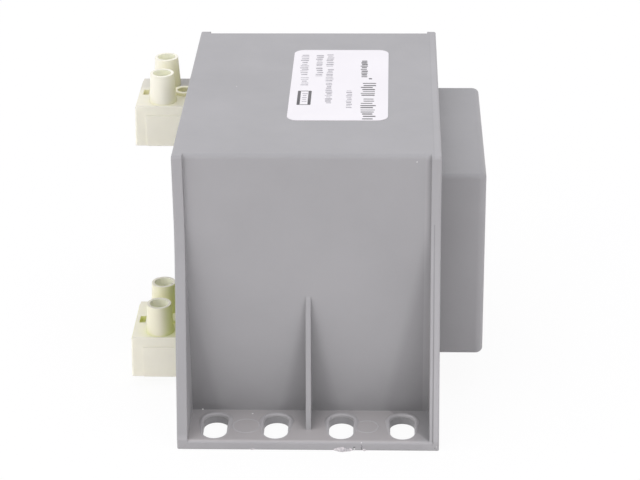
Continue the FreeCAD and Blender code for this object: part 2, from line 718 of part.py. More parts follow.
def build_screws(side, place):
    """Four screws: the inner pair grips the leads, the outer pair stands open."""
    grip = value("-sizes.wire_bore_radius + 2 * sizes.lead_radius")
    lift = value("sizes.screw_lift_open")
    axis = value(place["z"] + " + sizes.clamp_axis_height")
    screws = []
    for x, height in ((INNER_TOWER_X, grip), (OUTER_TOWER_X, grip + lift)):
        for y in (value(TOWER_Y), -value(TOWER_Y)):
            screw = screw_shape()
            screw.translate(FreeCAD.Vector(
                value(place["x"]) + value(x), value(place["y"]) + y,
                axis + height))
            screws.append(screw)
    group = doc.addObject("Part::Feature", side + "_terminal_screws")
    group.Label = side + "_terminal_screws"
    group.Shape = Part.makeCompound(screws)
    SUB_PARTS.append(group)


def bent_path(points, radius):
    """Straight runs through the points, joined by tangent arcs."""
    edges = []
    last = points[0]
    for before, corner, after in zip(points, points[1:], points[2:]):
        back = (before - corner).normalize()
        ahead = (after - corner).normalize()
        turn = math.pi - back.getAngle(ahead)
        room = BEND_SHARE * min((before - corner).Length, (after - corner).Length)
        bend = min(radius, room / math.tan(turn / 2))
        reach = bend * math.tan(turn / 2)
        start = corner + back * reach
        end = corner + ahead * reach
        inward = (back + ahead).normalize()
        middle = corner + inward * (bend / math.cos(turn / 2) - bend)
        edges.append(Part.makeLine(last, start))
        edges.append(Part.Arc(start, middle, end).toShape())
        last = end
    edges.append(Part.makeLine(last, points[-1]))
    return Part.Wire(edges)


def build_lead(label, route):
    """One insulated lead, a round tube along its route."""
    points = [FreeCAD.Vector(*[value(axis) for axis in point]) for point in route]
    path = bent_path(points, value("sizes.lead_bend_radius"))
    along = points[1] - points[0]
    profile = Part.Wire(
        [Part.makeCircle(value("sizes.lead_radius"), points[0], along)])
    lead = doc.addObject("Part::Feature", label)
    lead.Label = label
    lead.Shape = path.makePipeShell([profile], True, False)
    SUB_PARTS.append(lead)
    return lead


def build_leads():
    """Front strip to the secondary from below, rear strip to the primary from above."""
    drop = " + sizes.clamp_axis_height - sizes.wire_bore_radius + sizes.lead_radius"
    inner_end = " + sizes.strip_length / 2"
    low_end = WINDOW_FLOOR + " + sizes.flange_gap + sizes.former_wall"
    high_end = low_end + " + " + FORMER_HEIGHT + " - 2 * sizes.former_wall"
    crossing = high_end + " + sizes.former_wall + sizes.lead_rise"

    front_start = FRONT_STRIP["x"] + inner_end + " - sizes.lead_grip"
    front_z = FRONT_STRIP["z"] + drop
    front_x = CORE_X + " + " + SECONDARY_X
    front_near = FRONT_STRIP["y"] + " - " + TOWER_Y
    leads = [
        build_lead("front_near_lead", [
            (front_start, front_near, front_z),
            (front_x, front_near, front_z),
            (front_x, FRONT_NEAR_Y, front_z),
            (front_x, FRONT_NEAR_Y, low_end),
        ]),
        build_lead("front_far_lead", [
            (front_start, FRONT_FAR_Y, front_z),
            (front_x, FRONT_FAR_Y, front_z),
            (front_x, FRONT_FAR_Y, low_end),
        ]),
    ]

    rear_start = REAR_STRIP["x"] + inner_end + " - sizes.lead_grip"
    rear_turn = REAR_STRIP["x"] + inner_end + " + sizes.lead_turn_gap"
    rear_z = REAR_STRIP["z"] + drop
    rear_x = CORE_X + " + " + PRIMARY_X
    rear_near = REAR_STRIP["y"] + " - " + TOWER_Y
    rear_far = REAR_STRIP["y"] + " + " + TOWER_Y
    leads += [
        build_lead("rear_near_lead", [
            (rear_start, rear_near, rear_z),
            (rear_turn, rear_near, rear_z),
            (rear_turn, rear_near, crossing),
            (rear_x, REAR_NEAR_Y, crossing),
            (rear_x, REAR_NEAR_Y, high_end),
        ]),
        build_lead("rear_far_lead", [
            (rear_start, rear_far, rear_z),
            (rear_x, rear_far, rear_z),
            (rear_x, rear_far, crossing),
            (rear_x, REAR_FAR_Y, crossing),
            (rear_x, REAR_FAR_Y, high_end),
        ]),
    ]
    return leads


def box_primitive(name, x, y, z, length, width, height):
    """A block from its low corner and three sides, all expressions."""
    block = doc.addObject("Part::Box", name)
    for target, expression in (
            ("Placement.Base.x", x), ("Placement.Base.y", y), ("Placement.Base.z", z),
            ("Length", length), ("Width", width), ("Height", height)):
        block.setExpression(target, expression)
    return block


def strip_envelope(side, place):
    """The outside of a strip's base, of its webs and of its two inner towers."""
    shell = doc.addObject("PartDesign::Body", side + "_base_envelope")
    for axis in ("x", "y", "z"):
        shell.setExpression("Placement.Base." + axis, place[axis])
    base = new_sketch(shell, side + "_envelope_base", "XZ_Plane")
    base_outline(base)
    add_pad(shell, base, "2 * " + STRIP_HALF_DEPTH, both_ways=True)
    web = new_sketch(shell, side + "_envelope_web", "XZ_Plane")
    web_outline(web)
    add_pad(shell, web, "2 * (" + STRIP_HALF_DEPTH + " + sizes.web_thickness)", both_ways=True)
    solids = [shell]
    for sign in ("+", "-"):
        tower = doc.addObject("Part::Cone", side + "_tower_envelope")
        shape_tower(
            tower, place["x"] + " + " + INNER_TOWER_X,
            place["y"] + " " + sign + " " + TOWER_Y,
            place["z"] + " + sizes.strip_base_height")
        solids.append(tower)
    return solids


def build_resin(leads):
    """The case's cavity from just below the open rim, less what it holds."""
    bulk = box_primitive(
        "resin_bulk",
        "-" + HALF_WIDTH + " + sizes.resin_recess",
        "-" + INNER_DEPTH,
        "sizes.foot_thickness",
        "sizes.case_width - sizes.resin_recess - sizes.closed_rim",
        "2 * " + INNER_DEPTH,
        "sizes.case_height - sizes.wall - sizes.foot_thickness")
    nose = box_primitive(
        "resin_nose",
        "0",
        "-" + COVER_HALF_DEPTH + " + sizes.cover_wall",
        COVER_FLOOR + " + sizes.cover_wall",
        HALF_WIDTH + " + " + COVER_REACH + " - sizes.cover_wall",
        "2 * " + COVER_HALF_DEPTH + " - 2 * sizes.cover_wall",
        COVER_HEIGHT + " - 2 * sizes.cover_wall")
    core = box_primitive(
        "core_envelope",
        CORE_X + " - " + STACK + " / 2",
        "-" + CORE_WIDTH + " / 2",
        CORE_FLOOR,
        STACK, CORE_WIDTH, CORE_HEIGHT)
    coil = box_primitive(
        "coil_envelope",
        CORE_X + " - " + FLANGE_X,
        "-" + FLANGE_Y,
        WINDOW_FLOOR,
        "2 * " + FLANGE_X, "2 * " + FLANGE_Y, WINDOW_HEIGHT)
    filling = doc.addObject("Part::MultiFuse", "filling")
    filling.Shapes = [bulk, nose]
    held = doc.addObject("Part::MultiFuse", "held_in_resin")
    held.Shapes = ([core, coil] + strip_envelope("front", FRONT_STRIP)
                   + strip_envelope("rear", REAR_STRIP) + leads)
    resin = doc.addObject("Part::Cut", "potting_resin")
    resin.Label = "potting_resin"
    resin.Base = filling
    resin.Tool = held
    doc.recompute()
    SUB_PARTS.append(resin)


def build_label():
    """The rating label, a thin sheet on the top with rounded corners."""
    label = new_body("rating_label", "sizes.label_shift_x", "sizes.label_shift_y",
                     "sizes.case_height")
    sheet_outline = new_sketch(label, "label_outline", "XY_Plane")
    draw_box(sheet_outline, "(sizes.label_width / 2)",
             "-sizes.label_length / 2", "sizes.label_length / 2")
    solid = add_pad(label, sheet_outline, "sizes.label_thickness")
    round_edges(label, solid, "label_corners", "sizes.label_corner_radius", upright)


build_case()
build_core()
build_former()
build_windings()
for side, place in (("front", FRONT_STRIP), ("rear", REAR_STRIP)):
    build_strip(side, place)
    build_clamp(side + "_near_clamp", place, "-" + TOWER_Y)
    build_clamp(side + "_far_clamp", place, TOWER_Y)
    build_screws(side, place)
build_resin(build_leads())
build_label()
doc.recompute()

for item in doc.Objects:
    if "Invalid" in item.State or "Error" in item.State:
        raise ValueError(item.Label + " could not be built")
for part in SUB_PARTS:
    if part.Shape.isNull() or not part.Shape.isValid():
        raise ValueError(part.Label + " has no valid shape")

os.makedirs("parts", exist_ok=True)
for part in SUB_PARTS:
    part.Shape.exportStep("parts/" + part.Label + ".step")
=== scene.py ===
import math
import random

import bmesh
import bpy
from mathutils import Matrix, Vector


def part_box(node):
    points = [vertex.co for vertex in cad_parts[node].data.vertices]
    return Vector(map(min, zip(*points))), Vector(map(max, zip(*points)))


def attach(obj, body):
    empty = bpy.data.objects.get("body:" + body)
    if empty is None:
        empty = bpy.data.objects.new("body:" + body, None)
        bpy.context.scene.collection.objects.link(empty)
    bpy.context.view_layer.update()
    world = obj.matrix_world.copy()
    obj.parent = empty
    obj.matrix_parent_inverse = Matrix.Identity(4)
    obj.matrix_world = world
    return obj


# Looks of the potted transformer: materials for every CAD node, the fine
# moulding marks, the resin's rise at the walls and the label's plain print.
# Everything is in metres unless a comment says millimetres.

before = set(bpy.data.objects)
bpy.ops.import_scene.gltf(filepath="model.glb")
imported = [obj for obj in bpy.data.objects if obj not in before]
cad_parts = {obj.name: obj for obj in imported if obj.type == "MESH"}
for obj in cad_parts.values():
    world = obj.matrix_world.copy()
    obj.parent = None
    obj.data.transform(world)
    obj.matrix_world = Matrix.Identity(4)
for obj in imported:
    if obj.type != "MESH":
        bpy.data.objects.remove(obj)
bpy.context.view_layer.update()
MM = 0.001


# Camera, fitted to the photograph's frame of 640 by 480.

FRAME_WIDTH_PX = 640.0
FOCAL_PX = 2091.129
SENSOR_WIDTH_MM = 36.0
CAMERA_PLACE = Vector((21.033, -511.896, 274.104)) * MM
CAMERA_YAW = math.radians(-2.1896)
CAMERA_PITCH = math.radians(25.46)
CAMERA_ROLL = math.radians(-0.7085)
CAMERA_NEAR = 0.01
CAMERA_FAR = 50.0


def add_camera():
    forward = Vector((
        math.sin(CAMERA_YAW) * math.cos(CAMERA_PITCH),
        math.cos(CAMERA_YAW) * math.cos(CAMERA_PITCH),
        -math.sin(CAMERA_PITCH)))
    level = Vector((math.cos(CAMERA_YAW), -math.sin(CAMERA_YAW), 0))
    upward = level.cross(forward)
    right = level * math.cos(CAMERA_ROLL) + upward * math.sin(CAMERA_ROLL)
    up = upward * math.cos(CAMERA_ROLL) - level * math.sin(CAMERA_ROLL)
    data = bpy.data.cameras.new("camera")
    data.sensor_width = SENSOR_WIDTH_MM
    data.lens = FOCAL_PX * SENSOR_WIDTH_MM / FRAME_WIDTH_PX
    data.clip_start = CAMERA_NEAR
    data.clip_end = CAMERA_FAR
    camera = bpy.data.objects.new("camera", data)
    turn = Matrix((right, up, -forward)).transposed()
    camera.matrix_world = Matrix.Translation(CAMERA_PLACE) @ turn.to_4x4()
    bpy.context.scene.collection.objects.link(camera)
    bpy.context.scene.camera = camera


# Node trees.

# Noise stays near 0.5. These parts of its range are stretched to 0 to 1.
NOISE_FULL = (0.2, 0.8)
NOISE_WIDE = (0.3, 0.7)
NOISE_TIGHT = (0.35, 0.65)


class Tree:
    """Short calls for building one node tree."""

    def __init__(self, owner):
        owner.use_nodes = True
        self.nodes = owner.node_tree.nodes
        self.links = owner.node_tree.links
        self.nodes.clear()

    def feed(self, socket, given):
        """Link a socket to another node's output, or set its value."""
        if isinstance(given, bpy.types.NodeSocket):
            self.links.new(given, socket)
        else:
            socket.default_value = given

    def add(self, kind, inputs=(), **settings):
        node = self.nodes.new("ShaderNode" + kind)
        for name, setting in settings.items():
            setattr(node, name, setting)
        for name, given in dict(inputs).items():
            self.feed(node.inputs[name], given)
        return node

    def noise(self, place, scale, detail=2.0, rough=0.5):
        node = self.add("TexNoise", {
            "Vector": place, "Scale": scale, "Detail": detail, "Roughness": rough})
        return node.outputs["Fac"]

    def cells(self, place, scale):
        """The distance to the nearest of many scattered points, and that point's own number."""
        node = self.add("TexVoronoi", {"Vector": place, "Scale": scale})
        number = self.add("SeparateColor", {"Color": node.outputs["Color"]})
        return node.outputs["Distance"], number.outputs[0]

    def openness(self, distance):
        """1 where nothing stands near the surface, towards 0 where it is closed in."""
        node = self.add("AmbientOcclusion", {"Distance": distance}, samples=8)
        return node.outputs["AO"]

    def axes(self, vector):
        return self.add("SeparateXYZ", {"Vector": vector}).outputs

    def facing(self):
        return self.axes(self.add("NewGeometry").outputs["Normal"])

    def spread(self, source, low, high, start=0.0, end=1.0):
        """The source's range from low to high, mapped onto start to end."""
        node = self.add("MapRange", {
            "Value": source, "From Min": low, "From Max": high,
            "To Min": start, "To Max": end})
        return node.outputs["Result"]

    def math(self, operation, first, second=0.0):
        node = self.add("Math", operation=operation)
        for socket, given in zip(node.inputs, (first, second)):
            self.feed(socket, given)
        return node.outputs[0]

    def product(self, *factors):
        result = factors[0]
        for factor in factors[1:]:
            result = self.math("MULTIPLY", result, factor)
        return result

    def largest(self, *values):
        result = values[0]
        for value in values[1:]:
            result = self.math("MAXIMUM", result, value)
        return result

    def difference(self, first, second):
        return self.math("SUBTRACT", first, second)

    def size(self, source):
        return self.math("ABSOLUTE", source)

    def below(self, source, limit):
        """1 where the source is below the limit, 0 elsewhere."""
        return self.math("LESS_THAN", source, limit)

    def above(self, source, limit):
        """1 where the source is above the limit, 0 elsewhere."""
        return self.math("GREATER_THAN", source, limit)

    def near(self, source, middle, reach):
        """1 where the source is within reach of the middle, 0 elsewhere."""
        return self.below(self.size(self.difference(source, middle)), reach)

    def mix(self, factor, first, second):
        """A colour between two colours."""
        node = self.add("Mix", data_type="RGBA")
        for number, given in ((0, factor), (6, first), (7, second)):
            self.feed(node.inputs[number], given)
        return node.outputs[2]

    def bump(self, height, strength, distance, normal=None):
        node = self.add("Bump", {
            "Height": height, "Strength": strength, "Distance": distance})
        if normal is not None:
            self.links.new(normal, node.inputs["Normal"])
        return node.outputs["Normal"]

    def soft_edges(self, radius):
        """The surface's direction with its edges rounded off."""
        return self.add("Bevel", {"Radius": radius}, samples=4).outputs[0]


def colour(red, green, blue):
    return (red, green, blue, 1.0)


def shaded(base, factor):
    return colour(*[channel * factor for channel in base[:3]])


def new_material(name):
    material = bpy.data.materials.new(name)
    tree = Tree(material)
    place = tree.add("TexCoord").outputs["Object"]
    surface = tree.add("BsdfPrincipled")
    output = tree.add("OutputMaterial")
    tree.links.new(surface.outputs[0], output.inputs[0])
    return material, tree, place, surface


def link(tree, source, surface, socket):
    tree.links.new(source, surface.inputs[socket])


MOTTLE = 0.03
GRAIN_TINT = 1.12
GRAIN_SHARE = 0.12


def moulded_plastic(name, base, rough, edge=0.15 * MM):
    """Satin moulded plastic: faint mottling, a fine eroded grain, softened edges."""
    material, tree, place, surface = new_material(name)
    cloud = tree.noise(place, 38.0, detail=4.0, rough=0.6)
    fine = tree.noise(place, 2600.0, detail=3.0, rough=0.6)
    shade = tree.mix(tree.spread(cloud, *NOISE_TIGHT),
                     shaded(base, 1 - MOTTLE), shaded(base, 1 + MOTTLE))
    tint = tree.mix(tree.spread(fine, *NOISE_WIDE, 0.0, GRAIN_SHARE),
                    shade, shaded(base, GRAIN_TINT))
    link(tree, tint, surface, "Base Color")
    worn = tree.noise(place, 90.0, detail=5.0, rough=0.65)
    link(tree, tree.spread(worn, *NOISE_WIDE, rough - 0.05, rough + 0.06), surface, "Roughness")
    soft = tree.soft_edges(edge)
    link(tree, tree.bump(fine, 0.35, 0.02 * MM, soft), surface, "Normal")
    return material, tree, place, surface, tint


# The case.

CASE_GREY = colour(0.362, 0.358, 0.361)
CASE_ROUGHNESS = 0.42
CASE_EDGE = 0.4 * MM
# Painted light: a light grey for the painted highlights on the feet's outer edges, on the rims and
# along the top by the closed rim.
PAINTED_LIGHT_GREY = colour(0.72, 0.70, 0.71)
# A lighter grey for the slot lips and the ejector rings: painted highlight on their rounded tops.
LIP_AND_RING_HIGHLIGHT = colour(0.45, 0.44, 0.44)
LIP_AND_RING_ROUGHNESS = 0.38
# Painted shade: a dark grey mixed in where the case is closed in, beside the rims and the rib and
# along the rims' lines.
PAINTED_SHADE_GREY = shaded(CASE_GREY, 0.3)
COVER_GREY = shaded(CASE_GREY, 0.4)
COVER_SHARE = 0.12
NICK_GREY = shaded(CASE_GREY, 0.5)
FOOT_DUST = colour(0.62, 0.56, 0.53)
FOOT_DUST_SHARE = 0.3
DUST_SPECK = colour(0.8, 0.8, 0.78)

# Places on the case: heights from the floor, X and Y from the middle. A skin is
# a place just off a surface, which tells that surface from the others.
FOOT_TOP = 2.5 * MM
FOOT_SKIN = FOOT_TOP + 0.3 * MM
TOP_SKIN = 73 * MM
WALL_Y = 44 * MM
WALL_SKIN = WALL_Y + 2 * MM
COVER_X = 33.5 * MM
INBOARD_X = 29 * MM
RIM_INNER_X = 30.6 * MM
# Lines of painted shade along the closed rim's step and by its top fold.
RIM_STEP_X = 31.45 * MM
RIM_FOLD_X = 31.15 * MM
STEP_LINE_HALF_WIDTH = 0.13 * MM
FOLD_HALF_WIDTH = 0.12 * MM
STEP_LINE_MIDDLE_Z = 29 * MM
STEP_LINE_HALF_HEIGHT = 27 * MM
STEP_SHADE_SHARE = 0.3
FOLD_SHADE_SHARE = 0.06
RIB_HALF_WIDTH = 0.725 * MM

# How a share changes over the case. Each starts and ends at the first two
# numbers, and goes from the third to the fourth, or from 0 to 1.
FACING_UP = (0.5, 0.8)
FACING_OUT = (0.3, 0.7)
OPENNESS_REACH = 35 * MM
DUST_PATCHES = (*NOISE_WIDE, 0.75, 1.0)
# Less dust where the foot is closed in and towards the cover's end, which leaves painted shade
# there.
DUST_IN_THE_OPEN = (0.15, 0.4, 0.1, 1.0)
DUST_ACROSS = (25 * MM, 30 * MM, 1.0, 0.1)
# Painted light on the feet's outmost edges and on the rims' faces and sides.
HIGHLIGHT_OUTMOST = (59.0 * MM, 59.35 * MM, 0.0, 0.14)
FACE_LIGHT_ACROSS = (-33 * MM, 33 * MM, 0.02, 1.0)
FACE_LIGHT_DOWN = (72 * MM, 20 * MM, 0.03, 0.19)
SIDE_LIGHT_DOWN = (28 * MM, 8 * MM, 0.0, 0.12)
SIDE_LIGHT_ACROSS = (-30 * MM, 30 * MM, 1.7, 1.0)
# Where the painted highlight runs along the top by the closed rim.
CREST_ACROSS = (31.25 * MM, 31.45 * MM, 0.0, 0.055)
# Painted shade where the case is closed in, stronger further out along X.
SHADE_CLOSED_IN = (0.68, 0.2, 0.0, 0.36)
SHADE_ACROSS = (8 * MM, 28 * MM, 0.6, 0.95)
# Painted shadows: wedges on the walls beside both rims and the rib, a crease by the closed rim, a
# wedge on the foot by the closed rim and a patch on the foot by the rib.
WEDGE_SLOPE = 0.22
WEDGE_RIGHT = (17.5 * MM, 20.0 * MM, 0.0, 0.15)
WEDGE_LEFT = (-21.4 * MM, -23.4 * MM, 0.0, 0.12)
WEDGE_MIDDLE = (8.8 * MM, 6.6 * MM, 0.0, 0.13)
CREASE_ACROSS = (29.4 * MM, 30.5 * MM, 0.0, 0.15)
CREASE_UP = (30 * MM, 50 * MM)
FOOT_WEDGE_SLOPE = 1.535
FOOT_WEDGE = (-12.9 * MM, -12.0 * MM, 0.0, 0.27)
RIB_FOOT_ACROSS = (4.2 * MM, 1.0 * MM, 0.0, 0.2)
RIB_FOOT_OUT = (54.3 * MM, 53.0 * MM)

# Loose dust: cells to a metre, a speck's size in its cell, and how few cells have one.
DUST_SCALE = 150.0
DUST_SIZE = 0.045
DUST_RARITY = 0.93
# Single specks and nicks: place and radius, in millimetres.
DUST_SPOTS = [
    (27.0, -44.0, 72.3, 0.14),
    (32.35, -59.5, 1.1, 0.1),
    (32.8, -59.5, 0.4, 0.11),
    (-27.7, -44.0, 2.6, 0.24),
    (-14.7, -45.9, 2.5, 0.24),
    (11.75, -59.5, 0.35, 0.2),
    (13.5, -59.4, 2.1, 0.13),
]
NICKS = [
    (11.7, -59.5, 0.75, 0.28),
    (13.6, -59.5, 0.35, 0.18),
    (13.5, -59.5, 0.7, 0.18),
    (13.65, -59.5, 1.05, 0.15),
    (13.5, -59.5, 1.4, 0.13),
    (31.3, -59.5, 1.7, 0.12),
    (31.95, -59.5, 0.7, 0.14),
    (32.75, -59.5, 1.55, 0.13),
    (32.3, -59.5, 0.2, 0.12),
]


def case_plastic():
    """The case's grey: dusty feet, painted light on the edges and rims, painted shade in the
    corners and beside the rims and the rib, a few specks.
    """
    material, tree, place, surface, tint = moulded_plastic(
        "case_plastic", CASE_GREY, CASE_ROUGHNESS, CASE_EDGE)
    axes = tree.axes(place)
    facing = tree.facing()
    level = tree.spread(facing["Z"], *FACING_UP)
    upright = tree.spread(tree.size(facing["Y"]), *FACING_OUT)
    cover = tree.above(axes["X"], COVER_X)
    inboard = tree.below(tree.size(axes["X"]), INBOARD_X)
    rim = tree.difference(1.0, tree.largest(inboard, cover))
    openness = tree.openness(OPENNESS_REACH)
    # Dust on the feet; where it thins out in the corners, that is painted shade.
    tint = tree.mix(foot_dust_and_shade(tree, place, axes, level, openness), tint, FOOT_DUST)
    # Painted light on the feet's outer edges and the rims.
    tint = tree.mix(painted_light_share(tree, axes, upright, level, rim), tint, PAINTED_LIGHT_GREY)
    # Painted shade on upright and inboard faces where they are closed in, added to the painted
    # shadow wedges and lines.
    painted_shade = tree.product(tree.spread(openness, *SHADE_CLOSED_IN),
                        tree.difference(tree.largest(upright, inboard), level),
                        tree.spread(tree.size(axes["X"]), *SHADE_ACROSS))
    painted_shade = tree.math("ADD", tree.largest(painted_shade, 0.0), corner_shade(tree, axes, upright, level))
    tint = tree.mix(painted_shade, tint, PAINTED_SHADE_GREY)
    # Painted highlight: a lighter band along the top by the closed rim.
    crest = tree.product(tree.above(axes["Z"], TOP_SKIN),
                         tree.spread(axes["X"], *CREST_ACROSS), level)
    tint = tree.mix(crest, tint, PAINTED_LIGHT_GREY)
    tint = tree.mix(tree.product(cover, COVER_SHARE), tint, COVER_GREY)
    tint = tree.mix(spots(tree, place, NICKS), tint, NICK_GREY)
    away, number = tree.cells(place, DUST_SCALE)
    loose = tree.product(tree.below(away, DUST_SIZE), tree.above(number, DUST_RARITY))
    dust = tree.largest(loose, spots(tree, place, DUST_SPOTS))
    link(tree, tree.mix(dust, tint, DUST_SPECK), surface, "Base Color")
    return material


def foot_dust_and_shade(tree, place, axes, level, openness):
    """How dusty the feet are: patchy, with less in corners and at the cover's end, which leaves
    painted shade there.
    """
    patches = tree.spread(tree.noise(place, 70.0, detail=4.0, rough=0.6), *DUST_PATCHES)
    return tree.product(level, patches, tree.below(axes["Z"], FOOT_SKIN),
                        tree.spread(openness, *DUST_IN_THE_OPEN),
                        tree.spread(axes["X"], *DUST_ACROSS), FOOT_DUST_SHARE)


def painted_light_share(tree, axes, upright, level, rim):
    """Painted light on the feet's outmost edges and on the rims.

    The rims' painted highlight grows lower down, on their front and back faces towards the right
    and on their sides towards the left.
    """
    outmost = tree.spread(tree.size(axes["Y"]), *HIGHLIGHT_OUTMOST)
    face_light = tree.product(tree.spread(axes["X"], *FACE_LIGHT_ACROSS),
                           tree.spread(axes["Z"], *FACE_LIGHT_DOWN), upright)
    side_light = tree.product(tree.spread(axes["Z"], *SIDE_LIGHT_DOWN),
                          tree.spread(axes["X"], *SIDE_LIGHT_ACROSS),
                          tree.difference(1.0, upright))
    edges = tree.product(tree.math("ADD", face_light, side_light), rim, tree.difference(1.0, level))
    return tree.largest(outmost, edges)


def corner_shade(tree, axes, upright, level):
    """How dark the painted shade is beside the rims and the rib, on the walls and the foot, and in
    the lines of painted shade along the closed rim's step and by its top fold.

    The painted shadow wedges on the walls widen downwards.
    """
    depth = tree.size(axes["Y"])
    across = tree.size(axes["X"])
    beside = tree.product(tree.below(across, RIM_INNER_X), tree.above(across, RIB_HALF_WIDTH))
    falling = tree.product(axes["Z"], WEDGE_SLOPE)
    left = tree.spread(tree.math("ADD", axes["X"], falling), *WEDGE_LEFT)
    right = tree.spread(tree.difference(axes["X"], falling), *WEDGE_RIGHT)
    middle = tree.spread(tree.math("ADD", across, falling), *WEDGE_MIDDLE)
    crease = tree.product(tree.spread(axes["X"], *CREASE_ACROSS),
                          tree.spread(axes["Z"], *CREASE_UP))
    walls = tree.product(tree.below(depth, WALL_SKIN), upright,
                         tree.largest(left, right, crease, middle))
    slant = tree.difference(tree.product(axes["X"], FOOT_WEDGE_SLOPE), depth)
    rib_foot = tree.product(tree.spread(across, *RIB_FOOT_ACROSS),
                            tree.spread(depth, *RIB_FOOT_OUT))
    foot = tree.product(level, tree.below(axes["Z"], FOOT_SKIN),
                        tree.largest(tree.spread(slant, *FOOT_WEDGE), rib_foot))
    dark_line = tree.product(tree.near(axes["X"], RIM_STEP_X, STEP_LINE_HALF_WIDTH),
                        tree.near(axes["Z"], STEP_LINE_MIDDLE_Z, STEP_LINE_HALF_HEIGHT),
                        tree.difference(1.0, level), STEP_SHADE_SHARE)
    fold = tree.product(tree.near(axes["X"], RIM_FOLD_X, FOLD_HALF_WIDTH),
                        tree.above(axes["Z"], TOP_SKIN), FOLD_SHADE_SHARE)
    return tree.largest(tree.product(beside, tree.largest(walls, foot)), dark_line, fold)


def spots(tree, place, listed):
    """1 inside any of the listed small balls, 0 elsewhere."""
    marks = []
    for *spot, radius in listed:
        away = tree.add("VectorMath", {0: place, 1: Vector(spot) * MM}, operation="DISTANCE")
        marks.append(tree.below(away.outputs["Value"], radius * MM))
    return tree.largest(*marks)


# The terminal strips.

STRIP_CREAM = colour(0.94, 0.915, 0.765)
STRIP_MOTTLE = 0.02
# Painted shade on the strips' upward faces.
STRIP_TOP_SHADE = shaded(STRIP_CREAM, 0.74)
TOWER_YELLOW = colour(0.72, 0.68, 0.32)
# Painted light: a paler cream for the towers' bores, for the light their thin walls let through.
BORE_PAINTED_LIGHT = colour(0.97, 0.97, 0.78)
# A grey patch on the rear strip's base top; its band along the half by the case is painted shade.
GREY_PATCH = colour(0.275, 0.268, 0.31)
# For each strip: its painted shade where it is closed in, the painted shade on the towers' inner
# sides and its share, how much painted shade the base's and the towers' upward faces take, how
# yellow the towers are, and how much of the grey patch lies on the base.
STRIP_TONES = {
    "front": {
        "closed_in_shade": colour(0.78, 0.80, 0.38),
        "shade": colour(0.70, 0.76, 0.32),
        "shade_share": 0.65,
        "base_top_shade": 0.5,
        "tower_top_shade": 0.8,
        "yellow_share": 0.25,
        "grey_patch_share": 0.0,
    },
    "rear": {
        "closed_in_shade": colour(0.86, 0.84, 0.60),
        "shade": colour(0.82, 0.82, 0.60),
        "shade_share": 0.3,
        "base_top_shade": 0.66,
        "tower_top_shade": 0.2,
        "yellow_share": 0.0,
        "grey_patch_share": 0.75,
    },
}
STRIP_BASE_HEIGHT = 11.6 * MM
STRIP_BASE_SKIN = 0.3 * MM
STRIP_SKIN_Y = 10.1 * MM
STRIP_EDGE = 0.15 * MM
STRIP_OPENNESS_REACH = 9 * MM
POLE_HALF_PITCH = 6.25 * MM
TOWER_OFFSET = 5.7 * MM
TOWER_SHIFT = 0.5 * MM
TOWER_FOOT_RADIUS = 3.7 * MM
TOWER_MOUTH_RADIUS = 3.2 * MM
TOWER_BORE_RADIUS = 2.45 * MM
TOWER_BORE_SKIN = 1.03

# Spreads over a strip, as for the case. Those in X and Y are from its middle.
STRIP_FACING_UP = (0.6, 0.9)
STRIP_FACING_RIGHT = (0.1, 0.9)
STRIP_CLOSED_IN = (0.85, 0.3)
# Where the grey patch lies: over the base's back, growing towards the case, and a weaker band of
# painted shade over the half by the case.
GREY_PATCH_ACROSS = (-12 * MM, -1.0 * MM, 0.35, 1.0)
GREY_PATCH_BACK = (1.5 * MM, 4.5 * MM)
GREY_PATCH_INNER = (-2.5 * MM, -1.0 * MM, 0.0, 0.25)


